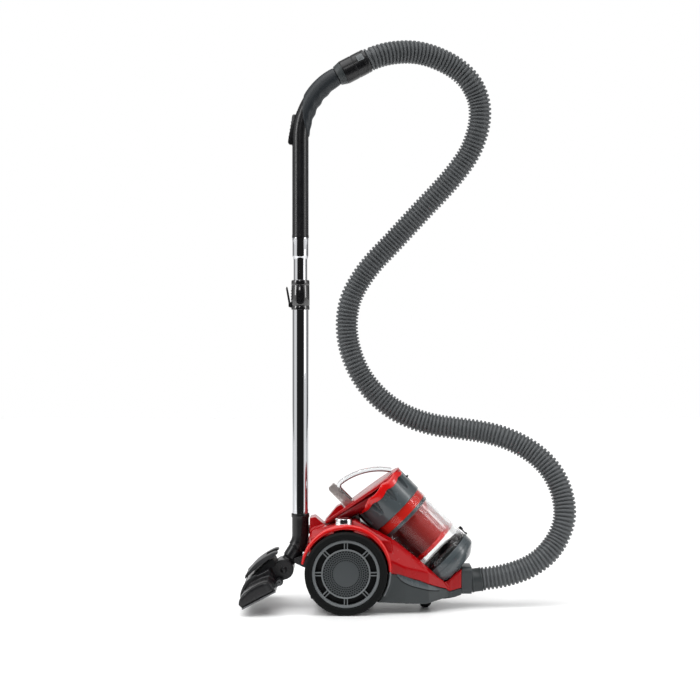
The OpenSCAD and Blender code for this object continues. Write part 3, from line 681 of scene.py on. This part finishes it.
def make_lid():
    """The red lid: its top plate, its sides down to the collar and the wedge at its tail."""
    top = lid_outline()
    s = Shape()
    centre = 100                     # the plate's rings shrink towards this distance along the top
    steps = ((-6.6, 3.0), (-6.4, 1.2), (-5.6, 0.3), (-4.6, 0), (-1.7, 0), (-0.6, 0.5), (-0.1, 1.7), (0, 3.2),
             (-0.5, 5), (-0.5, 9), (0, 11))
    s.loft([[tuple(TOP @ Vector((centre + (u - centre) * (1 - d / 98), y * (1 - d / 60), w)))
             for u, y in top] for w, d in steps])
    own(carve(s.done("lid_top", RED, 30), BIN, *BUTTON_POCKET), "bin", "red_shell", "bin_lid")
    s = Shape()
    for r, z in ((67.2, -0.2), (66.9, -4.5), (65.8, -9)):
        for point in round_ring(r, z, 144):
            s.vert(*(BIN @ Vector(point)))
    for x, y, z in ((-67.5, 29, 181), (-67.5, 30, 184), (-62, 31, 181), (-59, 31, 186)):
        s.vert(x, y, z)
        s.vert(x, -y, z)
    bmesh.ops.convex_hull(s.bm, input=s.bm.verts)
    # The lid's sides are the darker copy of the red: painted shade.
    own(carve(s.done("lid_side", RED_PAINTED_SHADE, 40), BIN, *BUTTON_POCKET), "bin", "red_shell")
    s = Shape()
    s.prism(rounded([(-68, 186.4), (-44, 215.5), (-34, 220.8), (-29.6, 216.4), (-29, 205), (-62, 184)], 2),
            -21, 21)
    own(bevel(s.done("tail_wedge", RED, 30), 1.0), "bin", "red_shell")


make_lid()

# ---------------- rear wheels
# Inner and outer radius of each ring of holes, and the holes' radius
HOLE_RINGS = ((26.2, 30.4, 1.35), (30.4, 34.7, 1.55), (34.7, 39.1, 1.68), (39.1, 43.6, 1.78),
              (43.6, 48.2, 1.88))
HOLES = 48               # holes in a ring
FACE = 114.2             # distance of the hub's face from the centre plane


def hole_cell(s, r0, r1, a, hole):
    """One cell of the perforated face: a square with a round blind hole, between two radii."""
    half = radians(180 / HOLES)
    mid = (r0 + r1) / 2
    edge = [(r1, a), (r1, a + half), (mid, a + half), (r0, a + half), (r0, a), (r0, a - half),
            (mid, a - half), (r1, a - half)]
    outer = [s.vert(r * cos(t), r * sin(t), FACE) for r, t in edge]
    cx, cy = mid * cos(a), mid * sin(a)
    ring = [(cx + hole * cos(a + k * pi / 4), cy + hole * sin(a + k * pi / 4))
            for k in range(8)]
    top = [s.vert(x, y, FACE) for x, y in ring]
    low = [s.vert(x, y, FACE - 2.5) for x, y in ring]
    s.paint = 0
    for k in range(8):
        j = (k + 1) % 8
        s.face((outer[k], outer[j], top[j], top[k]))
    # The hole's wall and floor are black matt: painted shade inside the hole.
    s.paint = 1
    for k in range(8):
        j = (k + 1) % 8
        s.face((top[k], top[j], low[j], low[k]))
    s.face(low)
    s.paint = 0


def make_hub(side, body, node):
    s = Shape(at(WHEEL[0], 0, WHEEL[1]) @ turn(-90 * side, "X"))
    for i, (r0, r1, hole) in enumerate(HOLE_RINGS):
        for k in range(HOLES):
            hole_cell(s, r0, r1, radians(7.5 * k + (3.75 if i % 2 else 0)), hole)
    s.lathe([(0, 115.6), (9, 115.5), (17, 115.2), (22.5, 114.9), (25.4, 114.6), (26.2, FACE)], 96, False)
    s.paint = 2
    s.lathe([(48.2, FACE), (48.6, 115.3), (49.2, 115.8), (50.6, 115.8), (51.2, 115.3), (51.3, 109),
             (48.2, 109)], 144)
    s.lathe([(64.4, 109), (64.5, 115), (65.2, 115.9), (69.6, 116), (70.6, 115.4), (71, 114), (71, 88),
             (60, 88), (60, 91), (64.4, 93)], 144)
    wheel = s.frame
    for k in range(8):
        s.frame = wheel @ turn(45 * k, "Z")
        # Black matt between each pair of ribs: painted shade between them.
        s.paint = 1
        s.block((50.8, -3.9, 107), (64.8, 3.9, 111))
        s.paint = 2
        for y in (-3.1, 3.1):
            s.prism(rounded([(50.6, 107), (50.6, 115.4), (65, 115.4), (65, 107)], 0.6), y - 0.95, y + 0.95)
    s.frame = wheel
    # Black matt discs behind the windows: painted shade seen through them.
    s.paint = 1
    s.lathe([(6, 100), (65, 100), (65, 103), (48, 105), (20, 105), (6, 105)], 96)
    s.lathe([(6, 88), (61, 88), (61, 90), (6, 90)], 96)
    hub = s.done(f"hub_detail_{body}", [HUB, BLACK_MATT, HUB_LIGHT], 30)
    own(hub, body, "grey_shell", node)


def make_tyre(side, body, node):
    s = Shape(at(WHEEL[0], 0, WHEEL[1]) @ turn(-90 * side, "X"))
    edge = [(81 + 5 * cos(a), 5 * sin(a)) for a in np.linspace(-1.4, 0, 8)]
    inner = [(r, 89 + z) for r, z in edge]
    outer = [(r, 115 - z) for r, z in reversed(edge)]
    tread = []
    for z in (95.0, 101.2, 107.4):
        tread += [(86, z - 0.1), (85.1, z + 0.3), (85.1, z + 1.1), (86, z + 1.5)]
    s.lathe([(71, 84.3), (78, 84)] + inner + tread + outer
            + [(79, 120), (77.6, 119.4), (76.4, 119.4), (75, 119.9), (72.4, 119.4), (71, 117.6)], 180)
    own(s.done(f"tyre_detail_{body}", TYRE, 32), body, "tyre_rubber", node)


for side, body in ((-1, "right_wheel"), (1, "left_wheel")):
    end = body.split("_")[0]
    make_hub(side, body, f"hub_{end}")
    make_tyre(side, body, f"tyre_{end}")

# ---------------- bin
FLUTES = [20 + 36 * k for k in range(10)]       # degrees round the bin from the near side


def near(angle, centre):
    return (angle - centre + 180) % 360 - 180


def flute_depth(angle, z):
    """How deep the finger flutes cut into the collar at an angle and a height below its top."""
    best = 0.0
    for c in FLUTES:
        t = near(angle, c) * radians(1) * 67
        reach = 33.0
        if z > reach:
            continue
        width = 9.2 * (1 - (max(z, 0) / reach) ** 1.6) ** 0.62
        if width > 0.2 and abs(t) < width:
            best = max(best, 7.6 * (1 - (t / width) ** 2) ** 0.7 * (1 - 0.5 * (z / reach) ** 2))
    return best


def make_collar():
    s = Shape(BIN @ turn(-90, "Z"))
    n = 480
    heights = [0, 0.8] + [1.6 + 1.5 * i for i in range(22)] + [36, 42, 48, 49.6, 50.4, 51]
    rows = []
    for z in heights:
        base = 67 - (0.9 if z in (0, 51) else 0.25 if z in (0.8, 50.4) else 0)
        rows.append([((base - flute_depth(360 * k / n, z)) * cos(2 * pi * k / n),
                      (base - flute_depth(360 * k / n, z)) * sin(2 * pi * k / n), z)
                     for k in range(n)])
    inner = [round_ring(r, z, n) for r, z in ((61, 51), (58.4, 40), (58.4, 0))]
    s.loft(rows + inner, closed=True, caps=False)
    own(s.done("fluted_collar", COLLAR, 28), "bin", "grey_collar", "bin_collar")
    s = Shape(BIN)
    s.prism(rounded([(-66, 14), (-70.6, 15.6), (-71, 17.6), (-66, 19)], 0.7), -5, 5)
    own(s.done("collar_nub", BLACK, 30), "bin", "black_plastic")


def make_lobe(side):
    """The bright red leaf that hugs the collar, scalloped where the flutes run out."""
    s = Shape(BIN @ (turn(-90, "Z") if side < 0 else FLIP @ turn(-90, "Z")))
    rings = []
    first, last, count = -74.0, 62.0, 137
    for i in range(count):
        a = first + (last - first) * i / (count - 1)
        u = (a - first) / (last - first)
        swell = sin(pi * u ** 0.8) ** 0.75
        scallop = sum(exp(-(near(a, c) / 8.5) ** 2) for c in FLUTES)
        low = 0.6 + (6.2 - 4.6 * scallop) * swell
        high = low - 2.0 - 15.5 * swell
        t = radians(a)
        lift = 0.5 + 1.4 * swell
        ring = [(67.6, high), (68.4 + lift * 0.5, high + 0.3), (68.5 + lift, high + 1.6),
                (68.7 + lift, (high + low) / 2), (68.4 + lift, low - 1.1), (68.0 + lift * 0.5, low - 0.1),
                (67.0, low)]
        rings.append([(r * cos(t), r * sin(t), z) for r, z in ring])
    s.loft(rings)
    own(s.done("lid_leaf_right" if side < 0 else "lid_leaf_left", RED_BRIGHT, 40), "bin", "red_shell")


def make_cup():
    s = Shape(BIN)
    s.lathe([(63.5, 51.2), (66, 51.2), (66, 184.5), (66.9, 185.5), (67.2, 187), (66.9, 188.8), (66, 189.4),
             (63.5, 189.4)], 128)
    for y in (-7.6, 7.6):
        s.prism(rounded([(-74, 175.6), (-64.8, 172), (-64.8, 184.4), (-74, 184.4)], 2), y - 1, y + 1)
    own(s.done("clear_cup", CLEAR, 30), "bin", "clear_cup", "bin_cup")


def make_filter():
    s = Shape(BIN)
    for k in range(23):
        z = 80.6 + 3.36 * k
        s.lathe([(43.9, z - 0.6), (44.9, z - 0.5), (45.1, z), (44.9, z + 0.5), (43.9, z + 0.6)], 96)
    for k in range(80):
        s.frame = BIN @ turn(4.5 * k, "Z")
        s.block((43.9, -0.5, 79), (44.9, 0.5, 157))
    s.frame = BIN
    s.lathe([(43.3, 79), (44.1, 79), (44.1, 157), (43.3, 157)], 96)
    own(s.done("mesh_screen", MESH, 40), "bin", "red_mesh", "filter_mesh")
    s = Shape(BIN)
    s.lathe([(43.4, 71.2), (62.6, 71.2), (63.0, 71.8), (63.0, 78.2), (62.6, 78.8), (43.4, 78.8)], 128)
    own(s.done("filter_ring", COLLAR, 30), "bin", "grey_shell", "filter_frame")
    s = Shape(BIN)
    s.lathe([(0, 157.2), (47, 157.2), (49.4, 158), (50, 159.2), (49.4, 160.4), (47, 160.8), (0, 160.8)],
            96, False)
    s.lathe([(45.3, 152), (46.6, 152.4), (49, 156.4), (49, 157.6), (45.3, 157.6)], 96)
    own(s.done("filter_foot", RED_BRIGHT, 30), "bin", "red_clear")
    s = Shape(BIN)
    s.lathe([(60.6, 52), (62.8, 52), (62.9, 52.6), (62.9, 70.6), (62.6, 71), (60.6, 71)], 128)
    own(s.done("red_ring", RED_CLEAR, 30), "bin", "red_clear", "filter_band")


def make_vane():
    """The small pink guide vane between the screen and the clear cup."""
    s = Shape(BIN)
    for y in (-18, 18):
        for fin in (((-45.2, 79), (-58, 79), (-55, 88), (-47, 103), (-45.2, 103)),
                    ((-45.2, 146), (-52, 152), (-55, 158), (-53, 161), (-45.2, 161))):
            s.prism(rounded(fin, 2), y - 0.9, y + 0.9)
    own(s.done("guide_vanes", PINK, 30), "bin", "red_clear")


def make_latch():
    s = Shape(BIN)
    s.prism(rounded([(-66.6, 172.8), (-73.2, 173.4), (-73.4, 178.4), (-71.2, 179.4), (-70.8, 189),
                     (-73.0, 193.4), (-71.4, 195.4), (-68.6, 194.8), (-68.4, 181)], 1.4), -5.6, 5.6)
    s.frame = BIN @ at(-71, 0, 179.5) @ turn(90, "X")
    s.lathe([(0, -7.2), (1.9, -7.2), (2.2, -6.8), (2.2, 6.8), (1.9, 7.2), (0, 7.2)], 32, False)
    own(bevel(s.done("latch_hook", BLACK, 30), 0.5), "bin_latch", "black_plastic", "door_latch")


def make_door():
    s = Shape(BIN)
    s.lathe([(0, 228.6), (44, 228.6), (47.4, 228.9), (49.6, 228), (58, 221.6), (65.4, 214.8), (67.4, 212.2),
             (68, 209), (68, 204.6), (67.5, 204.2), (67.5, 203.5), (68, 203.1), (68, 193.2), (67.4, 191.6),
             (66.4, 191.1), (60, 191.1), (60, 195), (63, 200), (63, 208), (46, 224.6), (0, 224.6)], 128,
            False)
    for k in range(5):
        s.lathe([(12 + 7 * k, 228.5), (12.6 + 7 * k, 229.3), (14 + 7 * k, 229.3), (14.6 + 7 * k, 228.5)], 96)
    own(s.done("bin_cap", COLLAR, 30), "bin", "grey_shell", "bin_door")
    s = Shape(BIN)
    s.lathe([(55, 181), (56, 180.4), (58, 181), (62.6, 185), (63.0, 186), (63.0, 190.6), (52, 190.6),
             (53, 184)], 128)
    own(s.done("cap_lining", BLACK, 30), "bin", "black_plastic")


make_collar()
make_lobe(-1)
make_lobe(1)
make_cup()
make_filter()
make_vane()
make_door()
make_latch()

# ---------------- handle, button, foot pedals
def strap(name, line, thick, half, mat, slot, body, *nodes, out=1):
    """A rounded flat strap along a line in the centre plane, which thickens to its left where out is 1."""
    p = np.array(line, float)
    d = np.gradient(p, axis=0)
    d /= np.linalg.norm(d, axis=1)[:, None]
    section = rounded([(0, -half), (thick, -half), (thick, half), (0, half)], min(thick * 0.45, 2.6), 4)
    rings = [[(q[0] - out * t[1] * h, y, q[1] + out * t[0] * h) for h, y in section] for q, t in zip(p, d)]
    return own(Shape().loft(rings).done(name, mat, 40), body, slot, *nodes)


def on_bin(x, z):
    v = BIN @ Vector((x, 0, z))
    return v.x, v.z


def make_handle():
    """The clear arched handle with its dark red lining."""
    leg = [on_bin(51.2, -30), on_bin(51.2, -50), on_bin(51.2, -66), on_bin(51.0, -74)]
    arch = arc_xz(48.4, 158.5, 135, 129.5, 78.5, 44)
    line = even([(x, 0, z) for x, z in leg + arch], 3)[0][:, ::2]
    line = np.stack([averaged(line[:, i], 3) for i in (0, 1)], 1)
    strap("clear_handle", line, 6.6, 13, SMOKE, "clear_cup", "bin", "carry_handle")
    strap("handle_lining", line, 2.6, 12, DARK_RED, "dark_red", "bin", "handle_strip", out=-1)


def make_release_button():
    """The silver block that frees the bin, and the lips that guide it."""
    s = Shape(BIN)
    s.prism(rounded([(53.6, -28), (53.6, -82), (56.4, -84.8), (68.6, -84.8), (71.6, -80), (71.6, -28)], 1.6),
            -13.8, 13.8)
    s.prism(rounded([(54.6, -82), (54.6, -85), (69, -85), (69, -82)], 0.6), -11.5, 11.5)
    own(bevel(s.done("silver_button", SILVER, 30), 0.9), "bin_release", "silver_trim", "release_button")
    s = Shape(BIN)
    s.prism(rounded([(50.8, -22), (50.8, -30), (53.0, -30.6), (53.0, -22)], 0.5), -16, 16)
    s.prism(rounded([(72.4, -16), (72.4, -27), (74.6, -26), (74.6, -16)], 0.5), -16, 16)
    own(s.done("button_guide", DARK_RED, 40), "bin", "dark_red")


PEDAL_X, PEDAL_Y = -28, 72


def make_foot_pedal(side, body):
    """A chrome foot pedal and the spring inside it. The real spring shortens as the pedal goes down; this one
    is a fixed coil.
    """
    s = Shape(at(PEDAL_X, side * PEDAL_Y, 0))
    s.lathe([(0, 158), (5, 158), (5, 192), (14.6, 192), (14.8, 183), (15.6, 182), (17.4, 182.2), (18, 183),
             (18, 186.4), (17.5, 186.9), (17.5, 187.5), (18, 188), (18, 194.4), (17.4, 196.2), (15.8, 197.4),
             (14.8, 197.6), (13.8, 197.0), (9, 196.6), (0, 196.5)], 72, False)
    own(s.done(f"{body}_button", TRIM_CHROME, 32), body, "trim_chrome", f"{body}_pedal")
    s = Shape(at(PEDAL_X, side * PEDAL_Y, 180))
    turns, steps, radius, rise = 5, 24, 8, 10.2
    coil = [(radius * cos(i * pi / 12), radius * sin(i * pi / 12),
             1 + rise * i / (turns * steps)) for i in range(turns * steps + 1)]
    spring = tube(s, coil, [0.75] * len(coil), 8, (0, 0, 1)).done(f"{body}_coil", STEEL, 60)
    own(spring, "canister", "steel", f"{body}_spring")
    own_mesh(spring)


def make_pedal_rings():
    """Sleeves under the springs and red collars round the pedals."""
    s = Shape()
    for side in (-1, 1):
        s.frame = at(PEDAL_X, side * PEDAL_Y, 0)
        s.lathe([(5.5, 177), (14, 177), (14, 180), (13.5, 180.4), (13.5, 186), (11, 186), (11, 180),
                 (5.5, 180)], 48)
        s.lathe([(18.6, 176.4), (21.2, 176.4), (21.2, 182.4), (20.6, 183.6), (19.4, 184), (18.6, 183.4)], 72)
    own(s.done("pedal_rings", RED_BRIGHT, 35), "canister", "red_shell", "pedal_collars")


make_handle()
make_release_button()
make_foot_pedal(-1, "power")
make_foot_pedal(1, "rewind")
make_pedal_rings()


# ---------------- wand and grip
WAND = at(WAND_X, 0, 0)
BEND_R = 152                                         # of the handle tube
BEND_X, BEND_Z = WAND_X + BEND_R, 1006               # the bend's centre
TAB = GRIP_END @ turn(70, "Z")                       # the hose release, on the socket's near side
SLIDE = at(WAND_X - 15.6, 0, 1032.5) @ turn(9)


def lathe_at(name, place, profile, mat, slot, body, nodes=(), n=72):
    """One turned ring."""
    own(Shape(place).lathe(profile, n).done(name, mat, 35), body, slot, *nodes)


def make_tubes():
    outer = [(16.5, 168), (17.5, 168), (17.5, 662), (16.5, 662)]
    inner = [(14, 262), (15, 262), (15, 744), (15.2, 746), (16.4, 750), (17.3, 752), (17.5, 754), (17.5, 786),
             (17.9, 787), (17.9, 791.6), (16.5, 792), (16.5, 754), (14, 744)]
    lathe_at("lower_tube", WAND, outer, CHROME, "wand_chrome", "canister", ["wand_outer"], 96)
    lathe_at("upper_tube", WAND, inner, CHROME, "wand_chrome", "upper_wand", ["wand_inner"], 96)


def make_lock():
    """The lock collar between the tubes, with its thumb lever."""
    sleeve = [(15.06, 664), (17.6, 664), (17.6, 637), (18.8, 637), (19.6, 637.6), (19.9, 639), (19.9, 644),
              (19.5, 644.6), (19.5, 646.6), (19.9, 647.2), (19.9, 688), (19.5, 688.6), (19.5, 690),
              (19.9, 690.6), (19.9, 698), (19.2, 700.4), (17.6, 701.4), (15.06, 701.5)]
    lathe_at("lock_sleeve", WAND, sleeve, GLOSS_BLACK, "black_plastic", "canister", ["lock_collar"])
    s = Shape(WAND)
    for y in (-5.5, 5.5):
        s.prism(rounded([(-25.4, 643.6), (-25.4, 652.4), (-17, 655), (-17, 641)], 1.2), y - 1, y + 1)
    for z in (659, 665, 671, 677):
        s.block((-20.5, -7, z), (-18.8, 7, z + 1.6))
    own(bevel(s.done("lever_lugs", BLACK), 0.3, 2), "canister", "black_plastic")
    s = Shape(WAND)
    s.prism(rounded([(-20.8, 646), (-24.4, 645), (-25.6, 652), (-31, 682.6), (-29.7, 687), (-28, 686.4),
                     (-26.6, 681), (-21.2, 652)], 1.4), -4, 4)
    s.frame = at(WAND_X - 22.5, 0, 648) @ turn(90, "X")
    s.lathe([(0, -6.4), (1.4, -6.4), (1.4, 6.4), (0, 6.4)], 24, False)
    own(bevel(s.done("thumb_lever", BLACK), 0.6), "lever", "black_plastic", "lock_lever")


def make_elbow():
    """The elbow above the nozzle's neck, with a cuff at each end."""
    radius = 50
    path = [(WAND_X, 0, z) for z in np.linspace(200.6, 156, 14)]
    path += [(x, 0, z) for x, z in arc_xz(WAND_X - radius, 154, radius, 0, -32, 18)]
    radii = [19.0, 19.0, 18.4] + [18.0 + 0.6 * max(0, (i - 16) / 15) for i in range(3, len(path))]
    own(tube(Shape(), path, radii, 48).done("elbow_pipe", BLACK, 40), "canister", "black_plastic",
        "wand_elbow")
    cuff = [(17.6, 192), (19.1, 192), (19.5, 193), (19.5, 199.4), (19, 200.6), (17.6, 200.6)]
    collar = [(13, -0.3), (18.4, -0.3), (19.2, 0.4), (19.2, 5.6), (18.5, 6.4), (13, 6.4)]
    lathe_at("elbow_cuff", WAND, cuff, BLACK, "black_plastic", "canister")
    lathe_at("elbow_collar", NECK, collar, BLACK, "black_plastic", "canister")


def make_handle_pipe():
    path = [(WAND_X, 0, z) for z in np.linspace(792, 1004, 60)]
    path += [(x, 0, z) for x, z in arc_xz(BEND_X, BEND_Z, BEND_R, 180, 117.5, 56)]
    radii = [17.7 + 0.5 * (z < 797) for x, y, z in path]
    own(tube(Shape(), path, radii, 48).done("handle_pipe", BLACK, 40), "upper_wand", "black_plastic",
        "handle_tube")


def make_grip():
    """Soft sleeve on the bend. Its lower end is a point on the inner side and it has finger waves there."""
    n, count, end = 64, 110, 118.8
    rings = []
    for i in range(count):
        u = i / (count - 1)
        ring = []
        for k in range(n):
            t = 2 * pi * k / n
            outer = (1 + cos(t)) / 2            # 1 on the outer side of the bend, 0 on the inner side
            start = 148 + 31 * (1 - outer)
            a = radians(start + (end - start) * u)
            wave = 1.1 * max(0.0, -cos(t)) ** 2 * cos(u * 2 * pi * 5.5) * sin(pi * u)
            swell = 19.5 + 1.3 * sin(pi * u) ** 0.7 + wave
            edge = min(1, u * 22, (1 - u) * 22)
            r = 17.9 + (swell - 17.9) * sqrt(max(0, 1 - (1 - edge) ** 2))
            rr = BEND_R + r * cos(t)
            ring.append((BEND_X + rr * cos(a), r * 0.97 * sin(t), BEND_Z + rr * sin(a)))
        rings.append(ring)
    own(Shape().loft(rings).done("soft_grip", GRIP, 50), "upper_wand", "grip_rubber", "hand_grip")


def make_socket():
    """The hose's socket with its ribs, the bevel behind it and the release tab in its side."""
    s = Shape(GRIP_END)
    s.lathe([(14.5, 12), (24.8, 12), (25.4, 12), (25.9, 13.2), (26, 15), (26, 38), (25.3, 38.8),
             (25.3, 40.2), (26, 41), (26, 61), (25.3, 61.8), (25.3, 63), (26, 63.8), (26, 67.6), (25.2, 69.6),
             (24, 70), (14.5, 70)], 96)
    for k in [k for k in range(18) if k != 12]:      # no rib where the release tab is
        s.frame = GRIP_END @ turn(20 * k + 10, "Z")
        s.prism(rounded([(24.6, 44), (26.4, 45), (26.4, 57), (24.6, 58)], 0.5), -0.9, 0.9)
    own(carve(s.done("socket_sleeve", BLACK, 35), TAB, (-29, -7.6, 48.3), (-20.5, 7.6, 64.7)), "upper_wand",
        "black_plastic", "hose_socket")
    slope = [(17.8, -3), (20.6, -3), (21.4, -2), (24.8, 9.6), (25, 11.4), (24.6, 11.8), (17.8, 11.8)]
    lathe_at("socket_bevel", GRIP_END, slope, SLATE, "grey_shell", "upper_wand", n=96)
    s = Shape(TAB)
    s.prism(rounded([(-23, 49), (-26.9, 49), (-27.5, 50.6), (-27.5, 62.4), (-26.9, 64), (-23, 64)], 1),
            -6.9, 6.9)
    for z in (53.5, 56.5, 59.5):
        s.prism(rounded([(-27, z - 0.7), (-28.2, z - 0.5), (-28.2, z + 0.5), (-27, z + 0.7)], 0.2), -4.4, 4.4)
    own(bevel(s.done("release_tab", HUB_LIGHT), 0.6), "hose_release", "grey_shell", "socket_button")


def make_slider():
    """The air slider at the start of the bend, and the dark slot behind it."""
    s = Shape(SLIDE)
    back = spline([(-1.4, -41), (-4.4, -38.6), (-5.5, -34), (-5.4, -20), (-5.0, -6), (-5.0, 8), (-5.2, 18),
                   (-4.4, 22.4), (-1, 24)], 5)
    s.prism([(5.4, -40.8)] + [tuple(p)[:2] for p in back] + [(5.0, 24)], -6.3, 6.3)
    for z in range(-26, 7, 8):
        s.prism(rounded([(-2, z), (-6.1, z + 0.2), (-6.1, z + 1.6), (-2, z + 2)], 0.3), -5, 5)
    own(bevel(s.done("air_slider", BLACK), 0.5), "slider", "black_plastic", "suction_slider")
    bend = np.linspace(180, 160, 18)
    track = [(WAND_X, z, 0) for z in np.linspace(990, 1004, 6)]
    track += [(x, z, 180 - a) for (x, z), a in zip(arc_xz(BEND_X, BEND_Z, BEND_R, 180, 160, 18), bend)]
    across = np.linspace(-0.44, 0.44, 9)
    rings = []
    for x, z, lean in track:
        c, w = cos(radians(lean)), sin(radians(lean))
        rings.append([(x - r * cos(a) * c, r * sin(a), z + r * cos(a) * w)
                      for r, angles in ((18.0, across), (17.2, -across)) for a in angles])
    own(Shape().loft(rings).done("slider_slot", BLACK_MATT, 40), "upper_wand", "black_plastic")


make_tubes()
make_lock()
make_elbow()
make_handle_pipe()
make_grip()
make_socket()
make_slider()
CUFF = [(17, -18), (20.4, -18), (20.4, 0), (25, 0), (25.8, 0.8), (26, 2), (26, 4.4), (25.4, 5), (25.2, 6),
        (25.0, 20), (25.6, 21), (26, 22), (26, 23), (25.4, 24), (17, 24)]
lathe_at("port_cuff", PORT, CUFF, SLATE, "grey_shell", "canister", ["hose_cuff"], 96)

# ---------------- floor, light, background
def make_floor():
    s = Shape()
    s.face([s.vert(-6000, -1150, 0), s.vert(6000, -1150, 0), s.vert(6000, 9000, 0), s.vert(-6000, 9000, 0)])
    pale = Shader("pale_floor", (0.93, 0.93, 0.93), 0.3)
    pale.set("Specular IOR Level", 0.35)
    floor = s.done("floor", pale.mat)
    floor.location.z = -0.0004


def make_world():
    """White to the camera. In reflections: dark in front, bright side walls, a greyer rear, white behind."""
    world = bpy.data.worlds.new("studio")
    bpy.context.scene.world = world
    world.use_nodes = True
    nodes = world.node_tree.nodes
    new, link = nodes.new, world.node_tree.links.new
    background = nodes["Background"]
    coords = new("ShaderNodeTexCoord")
    split = new("ShaderNodeSeparateXYZ")
    centred = new("ShaderNodeMapRange")
    ring = new("ShaderNodeValToRGB")
    seen = new("ShaderNodeLightPath")
    either = new("ShaderNodeMath")
    either.operation = "MAXIMUM"
    link(coords.outputs["Generated"], split.inputs["Vector"])
    link(split.outputs["Y"], centred.inputs["Value"])
    centred.inputs["From Min"].default_value = -1
    link(centred.outputs["Result"], ring.inputs["Fac"])
    stops = ((0.0, 0.02), (0.16, 0.02), (0.22, 1.0), (0.52, 1.0), (0.60, 0.35), (0.86, 0.3), (0.93, 1.0))
    while len(ring.color_ramp.elements) < len(stops):
        ring.color_ramp.elements.new(0.5)
    for stop, (where, value) in zip(ring.color_ramp.elements, stops):
        stop.position, stop.color = where, (value, value, value, 1)
    link(ring.outputs["Color"], either.inputs[0])
    link(seen.outputs["Is Camera Ray"], either.inputs[1])
    link(either.outputs["Value"], background.inputs["Strength"])
    background.inputs["Color"].default_value = (1, 1, 1, 1)


def lamp(name, location, target, size, power):
    data = bpy.data.lights.new(name, "AREA")
    data.shape, data.size, data.size_y, data.energy = "RECTANGLE", size[0], size[1], power
    obj = bpy.data.objects.new(name, data)
    obj.location = location
    obj.rotation_euler = (Vector(target) - Vector(location)).to_track_quat("-Z", "Y").to_euler()
    bpy.context.scene.collection.objects.link(obj)


def make_sky():
    """Soft light from above."""
    data = bpy.data.lights.new("sky_panel", "SUN")
    data.energy, data.angle = 2.1, radians(70)
    sky = bpy.data.objects.new("sky_panel", data)
    sky.rotation_euler = (radians(14), radians(-10), 0)
    bpy.context.scene.collection.objects.link(sky)


make_floor()
make_world()
lamp("left_strip", (-2.2, -1.0, 1.6), (0, 0, 0.3), (0.5, 1.8), 22)
lamp("right_strip", (2.3, -0.9, 1.3), (0, 0, 0.3), (0.5, 1.8), 16)
lamp("front_fill", (-0.6, -3.0, 2.2), (0, 0, 0.3), (0.8, 0.6), 10)
make_sky()

bpy.context.scene.view_settings.view_transform = "Standard"
